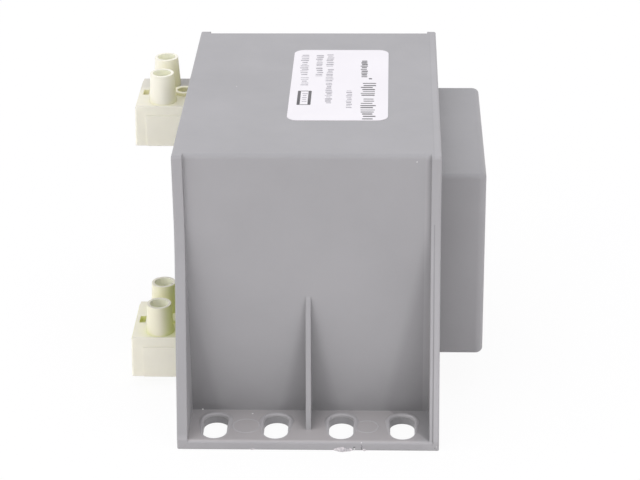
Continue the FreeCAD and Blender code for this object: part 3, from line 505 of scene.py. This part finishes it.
def strip_plastic(side):
    """Natural polyamide: cream in the open, with painted shade that is yellower and darker where
    it is closed in, on the towers' sides facing the case and on upward faces.

    The thin walls of the screw towers let light through; the bores in them
    are painted paler than the other holes for it, as painted light.
    """
    material, tree, place, surface = new_material(side + "_strip_plastic")
    tones = STRIP_TONES[side]
    low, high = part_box(side + "_terminal_strip")
    middle = (low + high) / 2
    base_top = low.z + STRIP_BASE_HEIGHT
    cloud = tree.noise(place, 160.0, detail=3.0, rough=0.6)
    axes = tree.axes(place)
    facing = tree.facing()
    raised = tree.above(axes["Z"], base_top)
    upward = tree.spread(facing["Z"], *STRIP_FACING_UP)
    beside = tree.difference(axes["X"], middle.x)
    behind = tree.difference(axes["Y"], middle.y)
    along = tree.size(behind)
    tint = tree.mix(tree.spread(cloud, *NOISE_WIDE), shaded(STRIP_CREAM, 1 - STRIP_MOTTLE),
                    shaded(STRIP_CREAM, 1 + STRIP_MOTTLE))
    tint = tree.mix(tree.product(raised, tones["yellow_share"]), tint, TOWER_YELLOW)
    # Painted shade on the upward faces, with one share on the base and another on the towers.
    settled = tree.spread(raised, 0.0, 1.0, tones["base_top_shade"], tones["tower_top_shade"])
    tint = tree.mix(tree.product(upward, settled), tint, STRIP_TOP_SHADE)
    # Painted shade: yellow-green and darker where the strip is closed in.
    closed = tree.product(tree.spread(tree.openness(STRIP_OPENNESS_REACH), *STRIP_CLOSED_IN),
                          tree.below(along, STRIP_SKIN_Y))
    tint = tree.mix(closed, tint, tones["closed_in_shade"])
    # Painted shade on the towers' sides that face +X, towards the case.
    inner = tree.spread(facing["X"], *STRIP_FACING_RIGHT, 0.0, tones["shade_share"])
    tint = tree.mix(tree.product(raised, inner), tint, tones["shade"])
    # The grey patch on the base's top: over its back, growing towards the case, and a weaker band
    # of painted shade over the half by the case.
    grey_patch = tree.largest(tree.product(tree.spread(beside, *GREY_PATCH_ACROSS),
                                      tree.spread(behind, *GREY_PATCH_BACK)),
                         tree.spread(beside, *GREY_PATCH_INNER))
    grey_patch = tree.product(grey_patch, upward, tree.below(axes["Z"], base_top + STRIP_BASE_SKIN),
                         tones["grey_patch_share"])
    tint = tree.mix(grey_patch, tint, GREY_PATCH)
    # Painted light: the towers' bores paler, for the light their thin walls let through.
    across = tree.size(tree.difference(axes["X"], middle.x + TOWER_SHIFT))
    off = tree.add("CombineXYZ", {
        "X": tree.difference(across, TOWER_OFFSET),
        "Y": tree.difference(along, POLE_HALF_PITCH)}).outputs[0]
    away = tree.add("VectorMath", {0: off}, operation="LENGTH").outputs["Value"]
    bore = tree.below(away, TOWER_BORE_RADIUS * TOWER_BORE_SKIN)
    link(tree, tree.mix(tree.product(bore, raised), tint, BORE_PAINTED_LIGHT), surface, "Base Color")
    link(tree, tree.spread(cloud, *NOISE_WIDE, 0.33, 0.43), surface, "Roughness")
    surface.inputs["Subsurface Weight"].default_value = 0.2
    surface.inputs["Subsurface Radius"].default_value = (1.0, 0.98, 0.85)
    surface.inputs["Subsurface Scale"].default_value = 1.5 * MM
    soft = tree.soft_edges(STRIP_EDGE)
    link(tree, tree.bump(tree.noise(place, 3000.0), 0.25, 0.01 * MM, soft), surface, "Normal")
    return material


# The other materials.

PIN_HOLE_SCALE = 260.0
PIN_HOLE_SIZE = 0.14
PIN_HOLE_RARITY = 0.9
SHEET_THICKNESS = 0.5 * MM
SHEET_GAP = 0.06 * MM
WIRE_DIAMETER = 0.6 * MM


def resin():
    """Poured potting compound: smooth, slightly wavy, with pin holes and settled filler."""
    material, tree, place, surface = new_material("potting_resin")
    cloud = tree.noise(place, 40.0, detail=3.0, rough=0.55)
    link(tree, tree.mix(tree.spread(cloud, *NOISE_FULL), colour(0.19, 0.19, 0.20),
                        colour(0.27, 0.27, 0.28)), surface, "Base Color")
    link(tree, tree.spread(cloud, *NOISE_FULL, 0.22, 0.4), surface, "Roughness")
    away, number = tree.cells(place, PIN_HOLE_SCALE)
    pits = tree.largest(tree.spread(away, 0.0, PIN_HOLE_SIZE),
                        tree.below(number, PIN_HOLE_RARITY))
    waves = tree.bump(tree.noise(place, 70.0), 0.5, 0.4 * MM)
    link(tree, tree.bump(pits, 0.8, 0.2 * MM, waves), surface, "Normal")
    return material


def laminated_steel():
    """Edges of half-millimetre sheets stacked along X, oiled and lightly tarnished."""
    material, tree, place, surface = new_material("laminated_steel")
    sheets = tree.math("PINGPONG", tree.axes(place)["X"], SHEET_THICKNESS / 2)
    dark_line = tree.spread(sheets, 0.0, SHEET_GAP)
    stain = tree.noise(place, 120.0, detail=5.0, rough=0.65)
    metal = tree.mix(tree.spread(stain, *NOISE_TIGHT), colour(0.30, 0.31, 0.34),
                     colour(0.42, 0.41, 0.40))
    link(tree, tree.mix(dark_line, colour(0.06, 0.05, 0.05), metal), surface, "Base Color")
    surface.inputs["Metallic"].default_value = 1.0
    link(tree, tree.spread(stain, *NOISE_WIDE, 0.38, 0.6), surface, "Roughness")
    link(tree, tree.bump(dark_line, 0.6, 0.04 * MM), surface, "Normal")
    return material


def wound_copper():
    """Enamelled copper wire in close turns along Z."""
    material, tree, place, surface = new_material("wound_copper")
    turn = tree.math("PINGPONG", tree.axes(place)["Z"], WIRE_DIAMETER / 2)
    round_wire = tree.spread(turn, 0.0, WIRE_DIAMETER / 2)
    tone = tree.noise(place, 300.0, detail=3.0)
    wire = tree.mix(tree.spread(tone, *NOISE_WIDE), colour(0.48, 0.17, 0.07),
                    colour(0.62, 0.26, 0.11))
    link(tree, tree.mix(tree.spread(round_wire, 0.0, 0.4), colour(0.12, 0.04, 0.02), wire),
         surface, "Base Color")
    surface.inputs["Metallic"].default_value = 0.85
    surface.inputs["Coat Weight"].default_value = 0.5
    link(tree, tree.spread(tone, *NOISE_WIDE, 0.25, 0.38), surface, "Roughness")
    link(tree, tree.bump(round_wire, 1.0, 0.2 * MM), surface, "Normal")
    return material


def polyester_tape():
    """Thin yellow tape with faint lengthwise wrinkles."""
    material, tree, place, surface = new_material("polyester_tape")
    stretched = tree.add("Mapping", {"Vector": place, "Scale": (60.0, 60.0, 900.0)})
    wrinkle = tree.noise(stretched.outputs[0], 1.0, detail=4.0)
    link(tree, tree.mix(tree.spread(wrinkle, *NOISE_TIGHT), colour(0.66, 0.48, 0.08),
                        colour(0.78, 0.60, 0.13)), surface, "Base Color")
    link(tree, tree.spread(wrinkle, *NOISE_WIDE, 0.22, 0.34), surface, "Roughness")
    link(tree, tree.bump(wrinkle, 0.4, 0.04 * MM), surface, "Normal")
    return material


def plated_metal(name, base, rough, scale):
    """Turned and plated metal: fine turning marks and a little dulling."""
    material, tree, place, surface = new_material(name)
    dull = tree.noise(place, 400.0, detail=4.0, rough=0.6)
    stretched = tree.add("Mapping", {"Vector": place, "Scale": scale})
    marks = tree.noise(stretched.outputs[0], 1.0)
    link(tree, tree.mix(tree.spread(dull, *NOISE_TIGHT), shaded(base, 0.88), base),
         surface, "Base Color")
    surface.inputs["Metallic"].default_value = 1.0
    link(tree, tree.spread(dull, *NOISE_WIDE, rough, rough + 0.14), surface, "Roughness")
    link(tree, tree.bump(marks, 0.25, 0.01 * MM), surface, "Normal")
    return material


def wire_insulation():
    """Soft PVC over the leads."""
    material, tree, place, surface = new_material("wire_insulation")
    scuff = tree.noise(place, 500.0, detail=4.0, rough=0.6)
    link(tree, tree.mix(tree.spread(scuff, *NOISE_TIGHT), colour(0.03, 0.03, 0.035),
                        colour(0.06, 0.06, 0.065)), surface, "Base Color")
    link(tree, tree.spread(scuff, *NOISE_WIDE, 0.4, 0.55), surface, "Roughness")
    link(tree, tree.bump(scuff, 0.3, 0.02 * MM), surface, "Normal")
    return material


def label_film():
    """White satin film with a faint fibre and slight waviness."""
    material, tree, place, surface = new_material("label_film")
    cloud = tree.noise(place, 45.0, detail=3.0)
    fibre = tree.noise(place, 1800.0, detail=3.0, rough=0.6)
    link(tree, tree.mix(tree.spread(cloud, *NOISE_WIDE), colour(0.82, 0.80, 0.81),
                        colour(0.86, 0.84, 0.845)), surface, "Base Color")
    link(tree, tree.spread(fibre, *NOISE_WIDE, 0.40, 0.52), surface, "Roughness")
    rise = tree.bump(fibre, 0.2, 0.01 * MM)
    link(tree, tree.bump(cloud, 0.2, 0.1 * MM, rise), surface, "Normal")
    return material


DARK_INK = 0.10
FAINT_INK = 0.38
# The ink's red, green and blue for a tone, where it is full and where it is thin.
INK_FULL = (1.0, 0.97, 1.02)
INK_THIN = (1.6, 1.56, 1.64)


def printed_ink(name, tone):
    """Thermal-transfer ink, a little patchy."""
    material, tree, place, surface = new_material(name)
    patch = tree.noise(place, 2200.0, detail=3.0, rough=0.7)
    full, thin = [colour(*[tone * part for part in ink]) for ink in (INK_FULL, INK_THIN)]
    link(tree, tree.mix(tree.spread(patch, 0.35, 0.7), full, thin), surface, "Base Color")
    link(tree, tree.spread(patch, *NOISE_WIDE, 0.4, 0.6), surface, "Roughness")
    link(tree, tree.bump(patch, 0.15, 0.01 * MM), surface, "Normal")
    return material


def scraped_plastic():
    """The case's plastic where it was torn and scraped, paler and rough."""
    material, tree, place, surface = new_material("scraped_plastic")
    torn = tree.noise(place, 1500.0, detail=5.0, rough=0.75)
    link(tree, tree.mix(tree.spread(torn, 0.38, 0.6), colour(0.34, 0.33, 0.34),
                        colour(0.74, 0.70, 0.70)), surface, "Base Color")
    link(tree, tree.spread(torn, *NOISE_WIDE, 0.55, 0.8), surface, "Roughness")
    link(tree, tree.bump(torn, 0.8, 0.1 * MM), surface, "Normal")
    return material


BOBBIN_CREAM = colour(0.75, 0.73, 0.68)
BOBBIN_ROUGHNESS = 0.4
BRASS = colour(0.72, 0.66, 0.52)
BRASS_ROUGHNESS = 0.22
BRASS_MARKS = (900.0, 120.0, 120.0)
ZINC = colour(0.66, 0.67, 0.68)
ZINC_ROUGHNESS = 0.25
ZINC_MARKS = (300.0, 300.0, 2500.0)


def assign(node, material):
    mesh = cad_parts[node].data
    if not mesh.materials:
        mesh.materials.append(material)
    for number in range(len(mesh.materials)):
        mesh.materials[number] = material


def dress_nodes():
    """A material for every CAD node. Returns them by node, for pieces that share one."""
    steel = laminated_steel()
    copper = wound_copper()
    tape = polyester_tape()
    brass = plated_metal("plated_brass", BRASS, BRASS_ROUGHNESS, BRASS_MARKS)
    zinc = plated_metal("zinc_steel", ZINC, ZINC_ROUGHNESS, ZINC_MARKS)
    pvc = wire_insulation()
    finishes = {
        "moulded_case": case_plastic(),
        "potting_resin": resin(),
        "core_e_stack": steel,
        "core_i_stack": steel,
        "bobbin": moulded_plastic("bobbin_nylon", BOBBIN_CREAM, BOBBIN_ROUGHNESS)[0],
        "primary_winding": copper,
        "interlayer_tape": tape,
        "secondary_winding": copper,
        "outer_tape": tape,
        "rating_label": label_film(),
    }
    for side in ("front", "rear"):
        finishes[side + "_terminal_strip"] = strip_plastic(side)
        finishes[side + "_terminal_screws"] = zinc
        for pole in ("near", "far"):
            finishes[side + "_" + pole + "_clamp"] = brass
            finishes[side + "_" + pole + "_lead"] = pvc
    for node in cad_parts:
        assign(node, finishes[node])
    return finishes


# Small pieces.


def add_piece(name, mesh_maker, material, smooth=True):
    shape = bmesh.new()
    mesh_maker(shape)
    bmesh.ops.recalc_face_normals(shape, faces=shape.faces)
    mesh = bpy.data.meshes.new(name)
    shape.to_mesh(mesh)
    shape.free()
    for face in mesh.polygons:
        face.use_smooth = smooth
    mesh.materials.append(material)
    piece = bpy.data.objects.new(name, mesh)
    bpy.context.scene.collection.objects.link(piece)
    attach(piece, "root")


def circle(steps):
    """Cosine and sine at even steps round a circle."""
    return [(math.cos(2 * math.pi * step / steps), math.sin(2 * math.pi * step / steps))
            for step in range(steps)]


def add_loop(shape, points):
    return [shape.verts.new(point) for point in points]


def bridge(shape, first, second):
    """Faces between two closed loops."""
    for index in range(len(first)):
        after = (index + 1) % len(first)
        shape.faces.new((first[index], first[after], second[after], second[index]))


def bridge_round(shape, loops):
    """Faces from each closed loop to the next, and from the last to the first."""
    for first, second in zip(loops, loops[1:] + loops[:1]):
        bridge(shape, first, second)


def cap_ends(shape, first, last):
    """A face over the first loop and one over the last."""
    shape.faces.new(first)
    shape.faces.new(list(reversed(last)))


# Each ejector mark's place along X and its radius, and the ring's section, in
# millimetres off that radius and above the foot.
MARKS = ((-15.9 * MM, 3.4 * MM), (14.8 * MM, 2.95 * MM))
MARK_Y = 52.0 * MM
MARK_STEPS = 48
MARK_PROFILE = [(-0.36, -0.1), (-0.24, -0.02), (-0.12, 0.08), (0.12, 0.08), (0.24, -0.02),
                (0.36, -0.1), (0.0, -0.2)]


def ejector_rings(shape):
    """Witness rings of the ejector pins on both feet, between the slots."""
    for x, mark_radius in MARKS:
        for y in (-MARK_Y, MARK_Y):
            loops = []
            for out, lift in MARK_PROFILE:
                radius = mark_radius + out * MM
                loops.append(add_loop(shape, [
                    (x + radius * across, y + radius * along, FOOT_TOP + lift * MM)
                    for across, along in circle(MARK_STEPS)]))
            bridge_round(shape, loops)


SLOT_COLUMNS = (-23.8 * MM, -8.3 * MM, 8.3 * MM, 23.8 * MM)
SLOT_INNER_Y = 49.6 * MM
SLOT_OUTER_Y = 55.2 * MM
SLOT_RADIUS = 3.2 * MM
SLOT_END_STEPS = 16
# The lip's section, in millimetres off the slot's wall and above the foot.
SLOT_LIP = [(0.02, -0.6), (-0.07, -0.4), (-0.12, -0.15), (-0.08, 0.1), (0.1, 0.3), (0.4, 0.38),
            (0.75, 0.3), (1.05, 0.1), (1.25, -0.04), (1.4, -0.14), (0.5, -0.6)]
# The lip grows from its least share at the slot's outer end to full over this run.
SLOT_LIP_RUN = 8.8 * MM
SLOT_LIP_LEAST = 0.15


def slot_lips(shape):
    """A soft lip round each slot, full at the end near the wall and low at the other."""
    path = []
    for middle_y, start in ((SLOT_INNER_Y, 180), (SLOT_OUTER_Y, 0)):
        for step in range(SLOT_END_STEPS + 1):
            angle = math.radians(start + 180 * step / SLOT_END_STEPS)
            path.append((middle_y, math.cos(angle), math.sin(angle)))
    for column in SLOT_COLUMNS:
        for side in (-1, 1):
            loops = []
            for out, lift in SLOT_LIP:
                loop = []
                for middle_y, across, along in path:
                    reach = middle_y + SLOT_RADIUS * along
                    full = (SLOT_OUTER_Y + SLOT_RADIUS - reach) / SLOT_LIP_RUN
                    full = min(max(full, SLOT_LIP_LEAST), 1.0)
                    radius = SLOT_RADIUS + out * MM * (full if out > 0 else 1.0)
                    z = FOOT_TOP + lift * MM * (full if lift > 0 else 1.0)
                    loop.append((column + radius * across, side * (middle_y + radius * along), z))
                loops.append(add_loop(shape, loop))
            bridge_round(shape, loops)


# Generic print on the label, in millimetres across and along it from its near
# left corner.

LABEL_MIDDLE = Vector((7.0, 3.7, 74.15)) * MM
LABEL_HALF_X = 12.85
LABEL_HALF_Y = 25.5
INK_RISE = 0.02 * MM

# Each line of print: left, right, near and far edge, shortest and longest bar, gap.
HEAVY_LINES = [
    (18.45, 22.55, 0.6, 14.9, 0.4, 0.75, 0.8),
    (18.45, 22.5, 16.9, 26.6, 0.4, 0.75, 0.8),
    (18.1, 20.2, 30.3, 43.4, 0.5, 0.95, 0.5),
    (20.3, 21.4, 28.7, 29.5, 0.8, 0.8, 0.5),
]
LIGHT_LINES = [
    (14.7, 16.4, 8.4, 20.9, 0.3, 0.9, 0.55),
    (9.0, 11.2, 27.2, 37.0, 0.35, 1.0, 0.55),
    (8.85, 11.05, 38.2, 47.4, 0.35, 1.0, 0.55),
    (9.2, 11.15, 11.6, 26.0, 0.35, 1.0, 0.55),
    (6.2, 8.3, 31.0, 37.4, 0.35, 1.0, 0.55),
    (6.0, 8.1, 38.6, 47.4, 0.35, 1.0, 0.55),
    (2.3, 4.6, 24.3, 30.6, 0.3, 0.8, 0.65),
    (1.9, 4.3, 31.8, 47.4, 0.3, 0.8, 0.65),
    (3.2, 4.7, 12.6, 18.6, 0.3, 0.6, 0.9),
]
HEAVY_SEED = 5
LIGHT_SEED = 9
PRINT_RAGGED = 0.22
GAP_VARIES = (0.8, 1.4)
BAR_ROUNDING = 0.3
BAR_CORNER_STEPS = 3
# The plain frame's left, right, near and far edge, and its bars' widths.
FRAME_BOX = (2.1, 5.7, 10.4, 20.3)
FRAME_SIDE = 0.8
FRAME_END = 0.35


def add_bar(shape, left, near, right, far):
    """A printed bar with softened corners."""
    corner = BAR_ROUNDING * min(right - left, far - near)
    outline = []
    for x, y, start in ((right - corner, far - corner, 0), (left + corner, far - corner, 90),
                        (left + corner, near + corner, 180), (right - corner, near + corner, 270)):
        for step in range(BAR_CORNER_STEPS + 1):
            angle = math.radians(start + 90 * step / BAR_CORNER_STEPS)
            outline.append((x + corner * math.cos(angle), y + corner * math.sin(angle)))
    bottom, top = [
        add_loop(shape, [
            LABEL_MIDDLE + Vector(((x - LABEL_HALF_X) * MM, (y - LABEL_HALF_Y) * MM, rise))
            for x, y in outline])
        for rise in (-0.5 * INK_RISE, INK_RISE)]
    bridge(shape, bottom, top)
    cap_ends(shape, top, bottom)


def print_lines(shape, lines, seed):
    """Lines of print running along the label, drawn as bars of uneven length."""
    draw = random.Random(seed)
    for left, right, near, far, low, high, gap in lines:
        place = near
        while place <= far - low:
            length = min(draw.uniform(low, high), far - place)
            short = (right - left) * PRINT_RAGGED
            add_bar(shape, left + draw.uniform(0, short), place,
                    right - draw.uniform(0, short), place + length)
            place += length + gap * draw.uniform(*GAP_VARIES)


def heavy_print(shape):
    """The heading's bars and the plain frame beside the smaller lines."""
    print_lines(shape, HEAVY_LINES, HEAVY_SEED)
    left, right, near, far = FRAME_BOX
    add_bar(shape, left, near, left + FRAME_SIDE, far)
    add_bar(shape, right - FRAME_SIDE, near, right, far)
    add_bar(shape, left + FRAME_SIDE, near, right - FRAME_SIDE, near + FRAME_END)
    add_bar(shape, left + FRAME_SIDE, far - FRAME_END, right - FRAME_SIDE, far)


def light_print(shape):
    """The smaller lines' bars."""
    print_lines(shape, LIGHT_LINES, LIGHT_SEED)


# The resin's rise at the walls, in millimetres off the wall and above the face.
MENISCUS = [(-0.3, 0.7), (0.0, 0.7), (0.09, 0.42), (0.25, 0.2), (0.5, 0.07), (0.85, 0.01),
            (1.25, -0.04), (1.6, -0.15), (-0.3, -0.2)]
RESIN_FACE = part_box("potting_resin")[0][0]


def meniscus_ring(shape, corners, way):
    """A fillet of resin round a four-sided outline in the open face's plane.

    The outline is given as Y and Z pairs. Way is 1 for a fillet outside it and
    -1 for one inside it.
    """
    middle = sum((Vector(corner) for corner in corners), Vector((0, 0))) / len(corners)
    loops = []
    for away, rise in MENISCUS:
        loop = []
        for index, corner in enumerate(corners):
            here = Vector(corner)
            sides = []
            for other in (corners[index - 1], corners[(index + 1) % len(corners)]):
                along = (Vector(other) - here).normalized()
                normal = Vector((along.y, -along.x))
                sides.append(normal if normal.dot(here - middle) > 0 else -normal)
            mitre = (sides[0] + sides[1]) / (1 + sides[0].dot(sides[1]))
            moved = here + mitre * away * way * MM
            loop.append((RESIN_FACE - rise * MM, moved.x, moved.y))
        loops.append(add_loop(shape, loop))
    bridge_round(shape, loops)


def resin_meniscus(shape):
    """Where the resin wets the case opening, the two strips and their inner towers."""
    low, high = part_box("potting_resin")
    meniscus_ring(shape, [(low[1], low[2]), (high[1], low[2]), (high[1], high[2]),
                          (low[1], high[2])], -1)
    for side in ("front", "rear"):
        low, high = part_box(side + "_terminal_strip")
        base_top = low[2] + STRIP_BASE_HEIGHT
        meniscus_ring(shape, [(low[1], low[2]), (high[1], low[2]), (high[1], base_top),
                              (low[1], base_top)], 1)
        off = (low[0] + high[0]) / 2 + TOWER_SHIFT + TOWER_OFFSET - RESIN_FACE
        foot = math.sqrt(max(TOWER_FOOT_RADIUS ** 2 - off ** 2, 0.0))
        mouth = math.sqrt(max(TOWER_MOUTH_RADIUS ** 2 - off ** 2, 0.0))
        for pole in (-POLE_HALF_PITCH, POLE_HALF_PITCH):
            centre = (low[1] + high[1]) / 2 + pole
            meniscus_ring(shape, [(centre - foot, base_top), (centre + foot, base_top),
                                  (centre + mouth, high[2]), (centre - mouth, high[2])], 1)


FOOT_FRONT_Y = -59.5 * MM
# Flash left along the front foot's lower edge: where it starts and ends along X,
# how far it stands out and how high it was scraped, in millimetres.
FLASH = [(6.5, 11.3, 1.05, 1.0), (13.8, 14.7, 0.5, 0.35), (-14.6, -13.2, 0.25, 0.2)]
FLASH_STEPS = 9
FLASH_SEED = 3
# How ragged a flake is, and the part of a half wave that it swells by.
FLASH_VARIES = (0.75, 1.0)
FLASH_SWELL = (0.06, 0.88)
# A flake's section: the share of its reach and millimetres off that, then the
# share of its height and millimetres above that.
FLASH_PROFILE = [(0.0, -0.1, 0.0, 0.0), (1.0, 0.0, 0.0, 0.0), (1.0, 0.0, 0.0, 0.12),
                 (0.35, 0.0, 0.55, 0.1), (0.0, 0.02, 1.0, 0.12), (0.0, -0.1, 1.0, 0.12)]


def edge_flash(shape):
    """Ragged flakes of flash, each a thin wedge lying at the foot's lower edge."""
    draw = random.Random(FLASH_SEED)
    start, run = FLASH_SWELL
    for left, right, out, tall in FLASH:
        loops = []
        for step in range(FLASH_STEPS):
            share = step / (FLASH_STEPS - 1)
            swell = math.sin(math.pi * (start + run * share)) * draw.uniform(*FLASH_VARIES)
            x = (left + (right - left) * share) * MM
            loops.append(add_loop(shape, [
                (x, FOOT_FRONT_Y - (reach * out * swell + further) * MM,
                 (height * tall * swell + higher) * MM)
                for reach, further, height, higher in FLASH_PROFILE]))
        for first, second in zip(loops, loops[1:]):
            bridge(shape, first, second)
        cap_ends(shape, loops[0], loops[-1])


COVER_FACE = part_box("moulded_case")[1][0]
COVER_MIDDLE_Z = 37.4 * MM
# The gate mark's section, in millimetres from its middle and above the cover,
# and the heights of its hidden underside and of its tip.
GATE_PROFILE = [(1.9, -0.1), (1.9, 0.05), (1.5, 0.16), (1.3, 0.16), (1.15, 0.4), (0.7, 0.52),
                (0.35, 0.44)]
GATE_UNDER = -0.1
GATE_TIP = 0.47
GATE_STEPS = 32


def gate_scar(shape):
    """The trimmed gate in the middle of the coil cover."""
    loops = []
    for radius, rise in GATE_PROFILE:
        loops.append(add_loop(shape, [
            (COVER_FACE + rise * MM, radius * MM * across, COVER_MIDDLE_Z + radius * MM * upward)
            for across, upward in circle(GATE_STEPS)]))
    for first, second in zip(loops, loops[1:]):
        bridge(shape, first, second)
    for rise, loop in ((GATE_UNDER, loops[0]), (GATE_TIP, loops[-1])):
        tip = shape.verts.new((COVER_FACE + rise * MM, 0.0, COVER_MIDDLE_Z))
        for index in range(GATE_STEPS):
            shape.faces.new((loop[index], loop[(index + 1) % GATE_STEPS], tip))


# Light and floor.

LIGHT_AIM = Vector((0.0, 0.0, 0.04))
LAMP_SIZE = 0.7
WORLD_ZENITH = 1.49
WORLD_HORIZON = 0.0
SKY_TINT = colour(1.0, 0.99, 1.05)
WHITE = colour(1, 1, 1)
PAPER_SHADES = (colour(0.94, 0.92, 0.915), colour(0.96, 0.94, 0.935))
# The share of plain white that the camera sees over the floor and its shadows.
FLOOR_WHITE_SHARE = 0.93
FLOOR_HALF_SIZE = 6.0
FLOOR_DROP = 0.1 * MM


def add_lamp(name, place, power):
    data = bpy.data.lights.new(name, "AREA")
    data.shape = "DISK"
    data.size = LAMP_SIZE
    data.energy = power
    lamp = bpy.data.objects.new(name, data)
    lamp.location = place
    aim = LIGHT_AIM - Vector(place)
    lamp.rotation_mode = "QUATERNION"
    lamp.rotation_quaternion = aim.to_track_quat("-Z", "Y")
    lamp.visible_camera = False
    bpy.context.scene.collection.objects.link(lamp)


def seen_share(tree):
    """1 for what the camera, a reflection or clear material sees, 0 for light."""
    rays = tree.add("LightPath").outputs
    return tree.largest(rays["Is Camera Ray"], rays["Is Glossy Ray"],
                        rays["Is Transmission Ray"])


def add_world():
    """White where the camera or a reflection sees it, and a soft overhead glow as light."""
    world = bpy.data.worlds.new("studio")
    bpy.context.scene.world = world
    tree = Tree(world)
    height = tree.axes(tree.add("TexCoord").outputs["Generated"])["Z"]
    glow = tree.spread(height, 0.0, 1.0, WORLD_HORIZON, WORLD_ZENITH)
    light = tree.add("Background", {"Color": SKY_TINT, "Strength": glow})
    white = tree.add("Background", {"Color": WHITE, "Strength": 1.0})
    blend = tree.add("MixShader", {
        0: seen_share(tree), 1: light.outputs[0], 2: white.outputs[0]})
    output = tree.add("OutputWorld")
    tree.links.new(blend.outputs[0], output.inputs[0])


def add_floor():
    """Pale floor: white to the camera, with a faint shadow left from the object."""
    material = bpy.data.materials.new("floor_paper")
    tree = Tree(material)
    place = tree.add("TexCoord").outputs["Object"]
    grain = tree.noise(place, 600.0, detail=3.0)
    paper = tree.add("BsdfDiffuse", {
        "Color": tree.mix(tree.spread(grain, *NOISE_WIDE), *PAPER_SHADES)})
    white = tree.add("Emission", {"Color": WHITE, "Strength": 1.0})
    share = tree.product(seen_share(tree), FLOOR_WHITE_SHARE)
    blend = tree.add("MixShader", {0: share, 1: paper.outputs[0], 2: white.outputs[0]})
    output = tree.add("OutputMaterial")
    tree.links.new(blend.outputs[0], output.inputs[0])
    shape = bmesh.new()
    bmesh.ops.create_grid(shape, x_segments=4, y_segments=4, size=FLOOR_HALF_SIZE)
    mesh = bpy.data.meshes.new("floor")
    shape.to_mesh(mesh)
    shape.free()
    mesh.materials.append(material)
    floor = bpy.data.objects.new("floor", mesh)
    floor.location = (0, 0, -FLOOR_DROP)
    bpy.context.scene.collection.objects.link(floor)


add_camera()
finishes = dress_nodes()
# The slot lips and ejector rings in a lighter grey, as painted highlight.
lip_and_ring_highlight = moulded_plastic("lip_and_ring_highlight_plastic", LIP_AND_RING_HIGHLIGHT, LIP_AND_RING_ROUGHNESS)[0]
add_piece("ejector_marks", ejector_rings, lip_and_ring_highlight)
add_piece("slot_lips", slot_lips, lip_and_ring_highlight)
add_piece("gate_scar", gate_scar, finishes["moulded_case"])
add_piece("edge_flash", edge_flash, scraped_plastic(), smooth=False)
add_piece("resin_meniscus", resin_meniscus, finishes["potting_resin"])
add_piece("label_heading_bars", heavy_print, printed_ink("dark_ink", DARK_INK))
add_piece("label_line_bars", light_print, printed_ink("faint_ink", FAINT_INK))

add_world()
add_floor()
add_lamp("left_lamp", (-0.7, -0.9, 0.55), 1.9)
add_lamp("far_left_lamp", (-1.15, -0.35, 0.45), 2.1)
add_lamp("right_lamp", (0.7, -0.9, 0.55), 1.8)
bpy.context.scene.view_settings.view_transform = "Standard"
